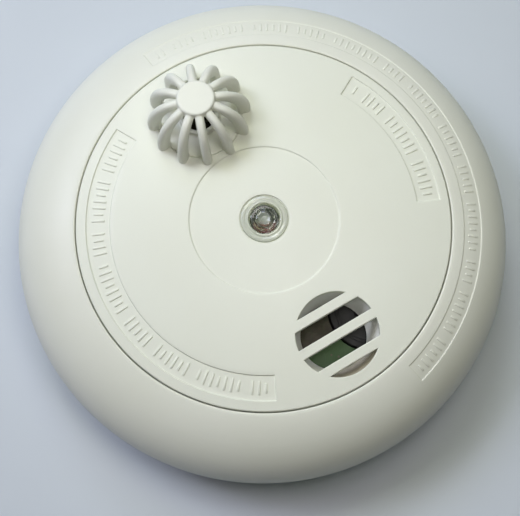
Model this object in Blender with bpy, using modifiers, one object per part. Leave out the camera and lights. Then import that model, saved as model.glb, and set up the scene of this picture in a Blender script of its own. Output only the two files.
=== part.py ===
"""Ceiling alarm with a ribbed heat-sensor guard, a press-to-test face and a twist-off mounting plate.

Metres, +Z up. The origin is the centre of the mounting plate's back face, and the alarm's face looks up +Z.
The battery door opens through the mounting plate, and the head turns on the plate's three bayonet hooks.
"""

import math

import bmesh
import bpy
from mathutils import Matrix, Vector

# Clearance between pieces that rest on each other
GAP = 0.0003

# How far a cutter runs past a face, and the small steps that keep two cutters' faces apart
CUT_MARGIN = 0.0010
CUT_STEP = 0.0001
SMALL_CHAMFER = 0.0004
FINE_CHAMFER = 0.0003
CREASE = math.radians(40.0)
WELD = 0.000001
SCREW_WELD = 0.00001

# Steps round a turned part
RING_SEGMENTS = 48
HOLE_SEGMENTS = 40
ROUND_SEGMENTS = 36
CAN_SEGMENTS = 24
SMALL_SEGMENTS = 20
TINY_SEGMENTS = 16

# Outer rim: an ellipse arc turned about Z, from the face opening round to the bottom edge
RIM_RADIUS = 0.0750
RIM_CENTRE = 0.0480
RIM_RISE = 0.01824
RIM_DROP = 0.0267
RIM_WALL = 0.0022
WIDEST_Z = 0.0173
RING_BOTTOM_Z = 0.0035
RING_OPENING = 0.0554
LIP_WIDTH = 0.0022
LIP_BOTTOM_Z = 0.0315
RING_EDGE_ROUND = 0.0005

# Button cover: a shallow dome with a skirt and a retaining flange
COVER_RADIUS = 0.0548
COVER_EDGE_Z = 0.0350
DOME_RADIUS = 0.350
COVER_WALL = 0.0022
COVER_EDGE_ROUND = 0.0010
SKIRT_WALL = 0.0022
FLANGE_RADIUS = 0.0570
FLANGE_TOP_Z = 0.0310
FLANGE_BOTTOM_Z = 0.0294
DISH_RADIUS = 0.0217
DISH_DEPTH = 0.0003
DISH_MIDDLE_RADIUS = 0.0145
COVER_CUT_LOW_Z = 0.0300
COVER_CUT_HIGH_Z = 0.0450
BUTTON_TRAVEL = 0.0010

# Lens in the middle of the cover
LENS_FLANGE_RADIUS = 0.00685
LENS_SEAT_RADIUS = 0.00715
LENS_SEAT_DEPTH = 0.0007
LENS_STEM_RADIUS = 0.0037
LENS_STEM_BOTTOM_Z = 0.0346
LENS_WELL_RADIUS = 0.0030
LENS_WELL_Z = 0.0381
LENS_WELL_SLOPE = 0.0004
LENS_BEAD_WIDTH = 0.0012
LENS_BEAD_HEIGHT = 0.0003

# Ribbed guard over the heat sensor
GUARD_CENTRE = Vector((-0.0190, 0.0311))
GUARD_TILT = math.asin(GUARD_CENTRE.length / DOME_RADIUS)
GUARD_RIBS = 12
GUARD_FIRST_RIB = math.radians(10.7)
GUARD_RIB_WIDTH = 0.0022
GUARD_FOOT_RADIUS = 0.0153
GUARD_CAP_RADIUS = 0.0054
GUARD_HEIGHT = 0.0143
GUARD_CAP_THICKNESS = 0.0022
GUARD_CAP_CHAMFER = 0.0006
GUARD_FLOOR_RADIUS = 0.0122
GUARD_FLOOR_HOLE = 0.0046
GUARD_FLOOR_TOP = -0.0004
GUARD_FLOOR_BOTTOM = -0.0022
GUARD_COLLAR_TOP = 0.0016
GUARD_COLLAR_WALL = 0.0012
GUARD_OPENING = 0.0126

# A guard rib from the side, as (distance from the guard's axis, height): outer edge, foot and inner edge
RIB_OUTER = (
    (0.0046, 0.0135),
    (0.0078, 0.0131),
    (0.0107, 0.0118),
    (0.0131, 0.0092),
    (0.0146, 0.0057),
    (GUARD_FOOT_RADIUS, 0.0028),
    (GUARD_FOOT_RADIUS, 0.0),
)
RIB_FOOT = ((0.0120, 0.0), (0.0118, -0.0014), (0.0106, -0.0014))
RIB_INNER = ((0.0107, 0.0030), (0.0101, 0.0064), (0.0081, 0.0092), (0.0046, 0.0108))

# Sounder grille, duct and sounder
GRILLE_CENTRE = Vector((0.0209, -0.0334))
GRILLE_RADIUS = 0.0122
GRILLE_BAR_WIDTH = 0.0029
GRILLE_BAR_PITCH = 0.0077
GRILLE_TURN = math.radians(30.5)
DUCT_WALL = 0.0012
DUCT_OUTLET_RADIUS = 0.0102
DUCT_BOTTOM_Z = 0.0280
DUCT_TRIM = 0.0200
GRILLE_BAR_REACH = 0.0200
SOUNDER_CENTRE = Vector((0.0312, -0.0246))
SOUNDER_RADIUS = 0.0120
SOUNDER_BOTTOM_Z = 0.0145
SOUNDER_TOP_Z = 0.0252
SOUNDER_WALL = 0.0012
SOUNDER_LEDGE_Z = 0.0186
SOUNDER_LEDGE_RADIUS = 0.0092
SOUNDER_CAP_HOLE = 0.0030
SOUNDER_CAP_THICKNESS = 0.0012
SOUNDER_PLATE_THICKNESS = 0.0003
SOUNDER_DISC_RADIUS = 0.0078
SOUNDER_SEAT_OUTER = 0.0108
SOUNDER_SEAT_INNER = 0.0094

# Rear housing
HOUSING_RADIUS = 0.0682
FLOOR_TOP_Z = 0.0055
HOUSING_RIM_TOP_Z = 0.0070
HOUSING_RIM_WALL = 0.0020
POST_ROOT_Z = 0.0045
HOUSING_CUT_LOW_Z = 0.0030
HOUSING_CUT_HIGH_Z = 0.0065

# Mounting plate and bayonet
PLATE_RADIUS = 0.0680
PLATE_OPENING = 0.0440
PLATE_THICKNESS = 0.0025
PLATE_EDGE = 0.0008
HOOK_ANGLES = [math.radians(a) for a in (20.0, 140.0, 260.0)]
HOOK_RADIUS = 0.0498
HOOK_POST = 0.0020
HOOK_HEAD = 0.0050
HOOK_WIDTH = 0.0080
HOOK_TOP_Z = 0.0076
HOOK_HEAD_Z = 0.0059
TWIST = math.radians(15.0)
SLOT_CLEARANCE = 0.0005
KEYHOLE_RADIUS = 0.0560
KEYHOLE_SLOT_HALF_WIDTH = 0.0025
KEYHOLE_ENTRY_RADIUS = 0.0046
KEYHOLE_REACH = 0.0060
KEYHOLE_CUT_HIGH_Z = 0.0035

# Battery, its bay and its door
BATTERY_SIZE = Vector((0.0464, 0.0265, 0.0175))
BATTERY_CENTRE = Vector((-0.0058, 0.0080, 0.01235))
BATTERY_ROUND = 0.0015
TERMINAL_SPACING = 0.0127
TERMINAL_HEIGHT = 0.0020
STUD_RADIUS = 0.00285
SOCKET_RADIUS = 0.0040
SOCKET_SIDES = 6
CONTACT_THICKNESS = 0.0005
CONTACT_HALF_WIDTH = 0.0034
CONTACT_REACH = 0.0050
CONTACT_BUMP_RADIUS = 0.0018
BAY_LOW = Vector((-0.0295, -0.0080, 0.0030))
BAY_HIGH = Vector((0.0224, 0.0217, 0.0216))
BAY_WALL = 0.0016
DOOR_LOW = Vector((-0.0310, -0.0110, 0.0017))
DOOR_HIGH = Vector((0.0240, 0.0226, 0.0032))
HINGE_Y = 0.0244
HINGE_Z = 0.0019
KNUCKLE_RADIUS = 0.0015
PIN_RADIUS = 0.0007
PIN_BORE = 0.00095
PIN_BORE_MARGIN = 0.0020
LATCH_SPAN = (-0.0085, 0.0015)
LATCH_SETBACK = 0.0006
LATCH_THICKNESS = 0.0011
LATCH_HEIGHT = 0.0026
EAR_SPANS = ((-0.0200, -0.0170), (0.0110, 0.0140))
KNUCKLE_SPANS = ((-0.0166, -0.0090), (0.0030, 0.0106))

# Circuit board and what stands on it
BOARD_RADIUS = 0.0470
BOARD_NOTCH_RADIUS = 0.0048
BOARD_BOTTOM_Z = 0.0240
BOARD_TOP_Z = 0.0256
BOARD_BITE_RADIUS = 0.0124
BOARD_HOLE_RADIUS = 0.0014
BOARD_POST_RADIUS = 0.0030
BOARD_POST_BORE_LOW_Z = 0.0150
BOARD_POSTS = [(0.0390, math.radians(a)) for a in (30.0, 155.0, 260.0)]
SWITCH_CENTRE = Vector((-0.0330, -0.0190))
SWITCH_SIDE = 0.0062
SWITCH_HEIGHT = 0.0035
SWITCH_FLOOR = 0.0012
SWITCH_BOSS_RADIUS = 0.0026
PLUNGER_RADIUS = 0.00175
PLUNGER_TOP_Z = 0.0314
LED_RADIUS = 0.0025
LED_DOME_Z = 0.0305
LED_FLANGE_RADIUS = 0.00295
LED_FLANGE_HEIGHT = 0.0010
BEAD_RADIUS = 0.0016
BEAD_STRETCH = 1.35
BEAD_RISE = 0.0068
LEAD_RADIUS = 0.0003
LEAD_HALF_PITCH = 0.00127
LEAD_BEND = 0.0040
LEAD_NECK = Vector((0.0006, 0.0, -0.0012))
CHIP_LOW = Vector((-0.0150, -0.0230, 0.0))
CHIP_SIZE = Vector((0.0190, 0.0065, 0.0032))
CANS = {
    "capacitor_1": ((0.0260, 0.0060), 0.0032, 0.0060),
    "capacitor_2": ((0.0180, 0.0140), 0.0025, 0.0055),
    "inductor": ((-0.0160, 0.0120), 0.0040, 0.0055),
}
AXIAL_RADIUS = 0.0011
AXIAL_HALF_LENGTH = 0.0030
AXIAL_HALF_SPAN = 0.0050
AXIAL_RISE = 0.0014
AXIAL_PLACES = {
    "resistor_1": (0.0130, 0.0240),
    "resistor_2": (0.0130, 0.0280),
    "resistor_3": (-0.0200, -0.0320),
    "diode": (0.0130, 0.0320),
}

# Return springs under the cover
SPRING_PLACES = [(0.0476, math.radians(a)) for a in (40.0, 165.0, 275.0)]
SPRING_RADIUS = 0.0031
SPRING_WIRE = 0.0004
SPRING_BOTTOM_Z = 0.0193
SPRING_TOP_Z = 0.0330
SPRING_TURNS = 5
SPRING_STEPS = 8
SPRING_POST_RADIUS = 0.0042
SPRING_POST_TOP_Z = 0.0190
SPRING_END_RISE = 0.0009
SPIGOT_RADIUS = 0.0021
SPIGOT_TOP_Z = 0.0218
SPIGOT_SEGMENTS = 12

# Screws that hold the ring to the housing
SCREW_PLACES = [(0.0640, math.radians(a)) for a in (60.0, 180.0, 300.0)]
RING_BOSS_RADIUS = 0.0030
RING_BOSS_TOP_Z = 0.0296
RING_BOSS_BOTTOM_Z = 0.0078
RING_BORE_RADIUS = 0.00165
RING_BORE_LOW_Z = 0.0050
RING_BORE_TOP_Z = 0.0185
HOUSING_PAD_RADIUS = 0.0039
HOUSING_PAD_TOP_Z = 0.0074
SCREW_HOLE_RADIUS = 0.0017
SCREW_HOLE_TOP_Z = 0.0085
COUNTERBORE_RADIUS = 0.0031
COUNTERBORE_TOP_Z = 0.0056

# Screws as (head radius, head height, shank radius), and the levels of each screw's head and tip
HOUSING_SCREW = (0.0028, 0.0015, 0.00135)
HOUSING_SCREW_HEAD_Z = 0.0053
HOUSING_SCREW_TIP_Z = 0.0178
BOARD_SCREW = (0.0024, 0.0014, 0.0011)
BOARD_SCREW_TIP_Z = 0.0160
SCREW_TIP_TAPER = 0.0012
RECESS_HALF_WIDTH = 0.0004


def clear_scene():
    """Removes every object of the open scene."""
    for old in list(bpy.data.objects):
        bpy.data.objects.remove(old, do_unlink=True)


def new_collection(name):
    """A collection linked to the scene."""
    made = bpy.data.collections.new(name)
    bpy.context.scene.collection.children.link(made)
    return made


def new_material(name, colour, roughness, metallic=0.0, transmission=0.0):
    """A Principled material."""
    made = bpy.data.materials.new(name)
    made.use_nodes = True
    shader = made.node_tree.nodes["Principled BSDF"]
    shader.inputs["Base Color"].default_value = (*colour, 1.0)
    shader.inputs["Roughness"].default_value = roughness
    shader.inputs["Metallic"].default_value = metallic
    shader.inputs["Transmission Weight"].default_value = transmission
    made.diffuse_color = (*colour, 1.0)
    return made


clear_scene()
PARTS = new_collection("ceiling_alarm")
CUTTERS = new_collection("cutters")

IVORY = new_material("ivory_plastic", (0.80, 0.80, 0.72), 0.42)
COVER_IVORY = new_material("cover_ivory_plastic", (0.82, 0.82, 0.74), 0.42)
GUARD_IVORY = new_material("guard_ivory_plastic", (0.83, 0.83, 0.75), 0.38)
WHITE = new_material("white_plastic", (0.78, 0.78, 0.74), 0.45)
CLEAR = new_material("clear_plastic", (0.92, 0.94, 0.92), 0.05, transmission=0.9)
RED = new_material("red_diode", (0.55, 0.03, 0.03), 0.15)
BLACK = new_material("black_plastic", (0.03, 0.03, 0.03), 0.5)
BOARD_GREEN = new_material("board_green", (0.03, 0.16, 0.07), 0.4)
STEEL = new_material("zinc_steel", (0.62, 0.62, 0.60), 0.3, 1.0)
BRASS = new_material("brass", (0.72, 0.52, 0.22), 0.3, 1.0)
CERAMIC = new_material("ceramic", (0.75, 0.72, 0.62), 0.6)
BATTERY_SKIN = new_material("battery_skin", (0.12, 0.13, 0.15), 0.35)
TAN = new_material("resistor_tan", (0.62, 0.45, 0.28), 0.55)
COPPER = new_material("copper", (0.70, 0.33, 0.18), 0.35, 1.0)


def polar(radius, angle):
    """The point (x, y) at a radius and angle about Z."""
    return Vector((radius * math.cos(angle), radius * math.sin(angle)))


def place(name, mesh, look, at=(0.0, 0.0, 0.0)):
    """A named part made from a mesh. With no look it is a helper that the model cuts or joins with."""
    made = bpy.data.objects.new(name, mesh)
    made.location = at
    if look is None:
        CUTTERS.objects.link(made)
        made.hide_render = True
        made.display_type = "WIRE"
        return made
    PARTS.objects.link(made)
    if not mesh.materials:
        mesh.materials.append(look)
    return made


def add_box(bm, low, high, turn=0.0):
    """Adds a box between two corners, then turns it about Z."""
    low, high = Vector(low), Vector(high)
    size = Matrix.Diagonal((*(high - low), 1.0))
    spot = Matrix.Translation((low + high) / 2)
    bmesh.ops.create_cube(bm, size=1.0, matrix=Matrix.Rotation(turn, 4, "Z") @ spot @ size)


def add_cylinder(bm, radius, low, high, centre=(0.0, 0.0), segments=CAN_SEGMENTS, axis="Z"):
    """Adds a cylinder from low to high along Z, or along X with centre as (y, z)."""
    middle = (low + high) / 2
    spot = Matrix.Translation((*centre, middle))
    if axis == "X":
        spot = Matrix.Translation((middle, *centre)) @ Matrix.Rotation(math.pi / 2, 4, "Y")
    bmesh.ops.create_cone(
        bm,
        cap_ends=True,
        segments=segments,
        radius1=radius,
        radius2=radius,
        depth=high - low,
        matrix=spot,
    )


def finish_mesh(name, bm):
    """Turns a bmesh into a mesh, shaded smooth except at its creases."""
    mesh = bpy.data.meshes.new(name)
    bm.to_mesh(mesh)
    bm.free()
    mesh.shade_smooth()
    mesh.set_sharp_from_angle(angle=CREASE)
    return mesh


def boxes(name, look, spans):
    """An object of one or more boxes."""
    bm = bmesh.new()
    for low, high in spans:
        add_box(bm, low, high)
    return place(name, finish_mesh(name, bm), look)


def cylinders(name, look, radius, low, high, centres, segments=CAN_SEGMENTS):
    """An object of equal upright cylinders."""
    bm = bmesh.new()
    for centre in centres:
        add_cylinder(bm, radius, low, high, centre, segments)
    return place(name, finish_mesh(name, bm), look)


def turned(name, profile, look, segments=ROUND_SEGMENTS, closed=False, at=(0.0, 0.0, 0.0)):
    """A profile of (radius, z) points turned about Z. It runs down the outer side; a closed one is a ring."""
    mesh = bpy.data.meshes.new(name)
    edges = [(i, i + 1) for i in range(len(profile) - 1)]
    if closed:
        edges.append((len(profile) - 1, 0))
    mesh.from_pydata([(radius, 0.0, z) for radius, z in profile], edges, [])
    made = place(name, mesh, look, at)
    screw = made.modifiers.new("turn", "SCREW")
    screw.axis = "Z"
    screw.angle = 2 * math.pi
    screw.steps = segments
    screw.render_steps = segments
    screw.use_merge_vertices = True
    screw.merge_threshold = SCREW_WELD
    screw.use_smooth_shade = True
    return made


def combine(target, other, operation):
    """Cuts other from target, or joins it on."""
    step = target.modifiers.new(operation.lower() + "_" + other.name, "BOOLEAN")
    step.operation = operation
    step.solver = "EXACT"
    step.object = other


def cut(target, other):
    """Cuts other from target."""
    combine(target, other, "DIFFERENCE")


def join(target, other):
    """Joins other on to target."""
    combine(target, other, "UNION")


def bevelled(target, width, segments=2):
    """Rounds the sharp edges of a target."""
    step = target.modifiers.new("rounding", "BEVEL")
    step.width = width
    step.segments = segments
    step.limit_method = "ANGLE"
    step.angle_limit = CREASE


def poly_curve(name, points):
    """A curve of straight runs between points."""
    curve = bpy.data.curves.new(name, "CURVE")
    spline = curve.splines.new("POLY")
    spline.points.add(len(points) - 1)
    for point, spot in zip(spline.points, points):
        point.co = (*spot, 1.0)
    return curve


def wire_mesh(name, points, radius):
    """The mesh of a round wire with closed ends."""
    curve = poly_curve(name, points)
    curve.dimensions = "3D"
    curve.bevel_depth = radius
    curve.bevel_resolution = 2
    curve.use_fill_caps = True
    return evaluated_mesh(name, curve)


def slab_mesh(name, outline, thickness):
    """The mesh of a flat outline (x, y) extruded both ways along Z."""
    curve = poly_curve(name, [(x, y, 0.0) for x, y in outline])
    curve.dimensions = "2D"
    curve.fill_mode = "BOTH"
    curve.extrude = thickness / 2
    curve.splines[0].use_cyclic_u = True
    return evaluated_mesh(name, curve)


def evaluated_mesh(name, curve):
    """The closed mesh of a curve."""
    shape = bpy.data.objects.new(name, curve)
    CUTTERS.objects.link(shape)
    shape.hide_render = True
    bpy.context.view_layer.update()
    evaluated = shape.evaluated_get(bpy.context.evaluated_depsgraph_get())
    mesh = bpy.data.meshes.new_from_object(evaluated)
    bpy.data.objects.remove(shape)
    bm = bmesh.new()
    bm.from_mesh(mesh)
    bmesh.ops.remove_doubles(bm, verts=bm.verts, dist=WELD)
    bmesh.ops.recalc_face_normals(bm, faces=bm.faces)
    bm.to_mesh(mesh)
    bm.free()
    return mesh


def rim_point(angle, inset=0.0):
    """A point (radius, z) of the rim's surface. Angle 0 is its widest level and 90 degrees the top."""
    rise = RIM_RISE - inset if angle >= 0 else RIM_DROP
    reach = RIM_RADIUS - RIM_CENTRE - inset
    return (RIM_CENTRE + reach * math.cos(angle), WIDEST_Z + rise * math.sin(angle))


def rim_arc(first, last, steps, inset=0.0):
    """Points of the rim's surface from one angle to another."""
    return [rim_point(first + (last - first) * i / steps, inset) for i in range(steps + 1)]


def dome_z(radius, depth=0.0):
    """Height of the button cover's domed face, or of a surface at a depth below it."""
    return COVER_EDGE_Z + (COVER_RADIUS**2 - radius**2) / (2 * DOME_RADIUS) - depth


def make_front_ring():
    """The broad rounded rim, a turned shell with an inner lip and three screw bosses."""
    top_angle = math.acos((RING_OPENING + RING_EDGE_ROUND - RIM_CENTRE) / (RIM_RADIUS - RIM_CENTRE))
    inner_reach = RIM_RADIUS - RIM_CENTRE - RIM_WALL
    inner_top = math.acos((RING_OPENING + LIP_WIDTH - RIM_CENTRE) / inner_reach)
    bottom_angle = math.asin((RING_BOTTOM_Z - WIDEST_Z) / RIM_DROP)
    outside = rim_arc(top_angle, 0.0, 7) + rim_arc(0.0, bottom_angle, 2)[1:]
    inside = rim_arc(bottom_angle, 0.0, 1, RIM_WALL) + rim_arc(0.0, inner_top, 4, RIM_WALL)[1:]
    lip_edge_z = rim_point(top_angle)[1] - RING_EDGE_ROUND
    lip = [
        (RING_OPENING + LIP_WIDTH, LIP_BOTTOM_Z),
        (RING_OPENING, LIP_BOTTOM_Z),
        (RING_OPENING, lip_edge_z),
    ]
    ring = turned("front_ring", outside + inside + lip, IVORY, RING_SEGMENTS, closed=True)
    spots = [polar(*spot) for spot in SCREW_PLACES]
    boss_span = (RING_BOSS_BOTTOM_Z, RING_BOSS_TOP_Z)
    join(ring, cylinders("ring_bosses", None, RING_BOSS_RADIUS, *boss_span, spots, SMALL_SEGMENTS))
    bore_span = (RING_BORE_LOW_Z, RING_BORE_TOP_Z)
    cut(ring, cylinders("ring_boss_bores", None, RING_BORE_RADIUS, *bore_span, spots, TINY_SEGMENTS))


def make_button_cover():
    """The domed face that presses in: dish, skirt, retaining flange, sounder grille and switch boss."""
    rounded_z = dome_z(COVER_RADIUS - COVER_EDGE_ROUND)
    stem_hole = LENS_STEM_RADIUS + GAP
    seat_z = dome_z(0.0) - DISH_DEPTH - LENS_SEAT_DEPTH
    top = [(stem_hole, seat_z), (LENS_SEAT_RADIUS, seat_z)]
    top += [(LENS_SEAT_RADIUS, dome_z(LENS_SEAT_RADIUS, DISH_DEPTH))]
    top += [(radius, dome_z(radius, DISH_DEPTH)) for radius in (DISH_MIDDLE_RADIUS, DISH_RADIUS - DISH_DEPTH)]
    top += [(DISH_RADIUS, dome_z(DISH_RADIUS))]
    face_steps = 3
    face_end = COVER_RADIUS - COVER_EDGE_ROUND
    for i in range(1, face_steps + 1):
        radius = DISH_RADIUS + (face_end - DISH_RADIUS) * i / face_steps
        top.append((radius, dome_z(radius)))
    corner = COVER_EDGE_ROUND * (1 - math.cos(math.pi / 4))
    edge = [
        (COVER_RADIUS - corner, rounded_z - corner),
        (COVER_RADIUS, rounded_z - COVER_EDGE_ROUND),
        (COVER_RADIUS, FLANGE_TOP_Z),
        (FLANGE_RADIUS, FLANGE_TOP_Z),
        (FLANGE_RADIUS, FLANGE_BOTTOM_Z),
        (COVER_RADIUS - SKIRT_WALL, FLANGE_BOTTOM_Z),
    ]
    under_steps = 3
    under_end = COVER_RADIUS - SKIRT_WALL
    under = []
    for i in range(under_steps + 1):
        radius = under_end + (stem_hole - under_end) * i / under_steps
        under.append((radius, dome_z(radius, COVER_WALL)))
    cover = turned("button_cover", top + edge + under, COVER_IVORY, RING_SEGMENTS, closed=True)
    cut_span = (COVER_CUT_LOW_Z, COVER_CUT_HIGH_Z)
    cut(cover, cylinders("guard_opening", None, GUARD_OPENING, *cut_span, [GUARD_CENTRE], HOLE_SEGMENTS))
    cut(cover, grille_cutter())
    boss_span = (PLUNGER_TOP_Z + GAP, dome_z(SWITCH_CENTRE.length, COVER_WALL / 2))
    spots = [SWITCH_CENTRE]
    join(cover, cylinders("switch_boss", None, SWITCH_BOSS_RADIUS, *boss_span, spots, SMALL_SEGMENTS))


def grille_cutter():
    """The round sounder opening with its three bars left standing."""
    cut_span = (COVER_CUT_LOW_Z, COVER_CUT_HIGH_Z)
    hole = cylinders("grille_hole", None, GRILLE_RADIUS, *cut_span, [GRILLE_CENTRE], HOLE_SEGMENTS)
    bars = []
    for row in (-1, 0, 1):
        middle = row * GRILLE_BAR_PITCH
        low = (-GRILLE_BAR_REACH, middle - GRILLE_BAR_WIDTH / 2, COVER_CUT_LOW_Z - CUT_MARGIN)
        high = (GRILLE_BAR_REACH, middle + GRILLE_BAR_WIDTH / 2, COVER_CUT_HIGH_Z + CUT_MARGIN)
        bars.append((low, high))
    bar_shape = boxes("grille_bars", None, bars)
    bar_shape.location = (*GRILLE_CENTRE, 0.0)
    bar_shape.rotation_euler = (0.0, 0.0, GRILLE_TURN)
    cut(hole, bar_shape)
    return hole


def make_indicator_lens():
    """The clear lens: a flange in the cover's seat, a round well and a stem that points at the lamp."""
    flange_bottom = dome_z(0.0) - DISH_DEPTH - LENS_SEAT_DEPTH + GAP
    flange_top = dome_z(LENS_FLANGE_RADIUS, DISH_DEPTH) + CUT_STEP
    profile = [
        (0.0, LENS_WELL_Z),
        (LENS_WELL_RADIUS, LENS_WELL_Z),
        (LENS_WELL_RADIUS + LENS_WELL_SLOPE, flange_top),
        (LENS_WELL_RADIUS + LENS_BEAD_WIDTH, flange_top + LENS_BEAD_HEIGHT),
        (LENS_FLANGE_RADIUS - SMALL_CHAMFER, flange_top),
        (LENS_FLANGE_RADIUS, flange_top - SMALL_CHAMFER / 2),
        (LENS_FLANGE_RADIUS, flange_bottom),
        (LENS_STEM_RADIUS, flange_bottom),
        (LENS_STEM_RADIUS, LENS_STEM_BOTTOM_Z),
        (0.0, LENS_STEM_BOTTOM_Z),
    ]
    turned("indicator_lens", profile, CLEAR, CAN_SEGMENTS)


def make_sensor_guard():
    """The cage over the heat sensor: a floor ring with a collar, twelve ribs and a flat cap."""
    collar = GUARD_FLOOR_HOLE + GUARD_COLLAR_WALL
    floor_profile = [
        (collar, GUARD_COLLAR_TOP),
        (collar, GUARD_FLOOR_TOP),
        (GUARD_FLOOR_RADIUS, GUARD_FLOOR_TOP),
        (GUARD_FLOOR_RADIUS, GUARD_FLOOR_BOTTOM),
        (GUARD_FLOOR_HOLE, GUARD_FLOOR_BOTTOM),
        (GUARD_FLOOR_HOLE, GUARD_COLLAR_TOP),
    ]
    cap_profile = [
        (0.0, GUARD_HEIGHT),
        (GUARD_CAP_RADIUS - GUARD_CAP_CHAMFER, GUARD_HEIGHT),
        (GUARD_CAP_RADIUS, GUARD_HEIGHT - GUARD_CAP_CHAMFER),
        (GUARD_CAP_RADIUS, GUARD_HEIGHT - GUARD_CAP_THICKNESS),
        (0.0, GUARD_HEIGHT - GUARD_CAP_THICKNESS),
    ]
    side = slab_mesh("guard_rib", RIB_OUTER + RIB_FOOT + RIB_INNER, GUARD_RIB_WIDTH)
    upright = Matrix.Rotation(math.pi / 2, 4, "X")
    bm = bmesh.new()
    for i in range(GUARD_RIBS):
        turn = Matrix.Rotation(GUARD_FIRST_RIB + 2 * math.pi * i / GUARD_RIBS, 4, "Z")
        copied = side.copy()
        copied.transform(turn @ upright)
        bm.from_mesh(copied)
        bpy.data.meshes.remove(copied)
    ribs = place("guard_ribs", finish_mesh("guard_ribs", bm), None)
    cap = turned("guard_cap", cap_profile, None, CAN_SEGMENTS)
    guard = turned("sensor_guard", floor_profile, GUARD_IVORY, ROUND_SEGMENTS, closed=True)
    join(guard, ribs)
    join(guard, cap)
    lean = Matrix.Rotation(GUARD_TILT, 4, Vector((-GUARD_CENTRE.y, GUARD_CENTRE.x, 0.0)))
    stand = Matrix.Translation((*GUARD_CENTRE, dome_z(GUARD_CENTRE.length))) @ lean
    for piece in (guard, ribs, cap):
        piece.matrix_world = stand


def make_sound_duct():
    """The tapered tube that leads the sound from the sounder to the grille."""
    top_z = dome_z(GRILLE_CENTRE.length, COVER_WALL) + 2 * CUT_MARGIN
    profile = [
        (GRILLE_RADIUS + DUCT_WALL, top_z),
        (DUCT_OUTLET_RADIUS + DUCT_WALL, DUCT_BOTTOM_Z),
        (DUCT_OUTLET_RADIUS, DUCT_BOTTOM_Z),
        (GRILLE_RADIUS, top_z),
    ]
    duct = turned("sound_duct", profile, WHITE, HOLE_SEGMENTS, closed=True, at=(*GRILLE_CENTRE, 0.0))
    slope = GRILLE_CENTRE.length / DOME_RADIUS
    lid = boxes("duct_trim", None, [((-DUCT_TRIM, -DUCT_TRIM, 0.0), (DUCT_TRIM, DUCT_TRIM, DUCT_TRIM))])
    lean = Matrix.Rotation(slope, 4, Vector((-GRILLE_CENTRE.y, GRILLE_CENTRE.x, 0.0)))
    under_z = dome_z(GRILLE_CENTRE.length, COVER_WALL) - 2 * GAP
    lid.matrix_world = Matrix.Translation((*GRILLE_CENTRE, under_z)) @ lean
    cut(duct, lid)


def make_rear_housing():
    """The chassis: a tray with a rim, the battery bay, posts, screw pads and bayonet slots."""
    tray = [
        (0.0, FLOOR_TOP_Z),
        (HOUSING_RADIUS - HOUSING_RIM_WALL, FLOOR_TOP_Z),
        (HOUSING_RADIUS - HOUSING_RIM_WALL, HOUSING_RIM_TOP_Z),
        (HOUSING_RADIUS, HOUSING_RIM_TOP_Z),
        (HOUSING_RADIUS, RING_BOTTOM_Z),
        (0.0, RING_BOTTOM_Z),
    ]
    housing = turned("rear_housing", tray, WHITE, RING_SEGMENTS)
    wall = Vector((BAY_WALL, BAY_WALL, BAY_WALL))
    bay_low = BAY_LOW - wall
    bay_low.z = POST_ROOT_Z
    join(housing, boxes("bay_block", None, [(bay_low, BAY_HIGH + wall)]))
    posts = bmesh.new()
    for spot in BOARD_POSTS:
        add_cylinder(posts, BOARD_POST_RADIUS, POST_ROOT_Z, BOARD_BOTTOM_Z - GAP, polar(*spot), TINY_SEGMENTS)
    for spot in SPRING_PLACES:
        add_cylinder(posts, SPRING_POST_RADIUS, POST_ROOT_Z, SPRING_POST_TOP_Z, polar(*spot), SMALL_SEGMENTS)
    for spot in SCREW_PLACES:
        add_cylinder(posts, HOUSING_PAD_RADIUS, POST_ROOT_Z, HOUSING_PAD_TOP_Z, polar(*spot), SMALL_SEGMENTS)
    join(housing, place("housing_posts", finish_mesh("housing_posts", posts), None))
    spigots = [polar(*spot) for spot in SPRING_PLACES]
    spigot_span = (SPRING_POST_TOP_Z - CUT_MARGIN, SPIGOT_TOP_Z)
    join(housing, cylinders("spring_spigots", None, SPIGOT_RADIUS, *spigot_span, spigots, SPIGOT_SEGMENTS))
    seat_profile = [
        (SOUNDER_SEAT_OUTER, SOUNDER_BOTTOM_Z - GAP),
        (SOUNDER_SEAT_OUTER, POST_ROOT_Z),
        (SOUNDER_SEAT_INNER, POST_ROOT_Z),
        (SOUNDER_SEAT_INNER, SOUNDER_BOTTOM_Z - GAP),
    ]
    join(housing, turned("sounder_seat", seat_profile, None, closed=True, at=(*SOUNDER_CENTRE, 0.0)))
    join(housing, hinge_ears())
    cut(housing, boxes("bay_hollow", None, [(BAY_LOW, BAY_HIGH)]))
    cut(housing, housing_holes())
    cut(housing, bayonet_slots())


def hinge_ears():
    """The two ears under the floor that carry the door's pin."""
    bm = bmesh.new()
    for low, high in EAR_SPANS:
        add_cylinder(bm, KNUCKLE_RADIUS, low, high, (HINGE_Y, HINGE_Z), SMALL_SEGMENTS, axis="X")
    ears = place("hinge_ears", finish_mesh("hinge_ears", bm), None)
    side = KNUCKLE_RADIUS * math.cos(math.pi / SMALL_SEGMENTS)
    webs = [((low, HINGE_Y - side, HINGE_Z), (high, HINGE_Y + side, POST_ROOT_Z)) for low, high in EAR_SPANS]
    join(ears, boxes("ear_webs", None, webs))
    return ears


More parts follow.
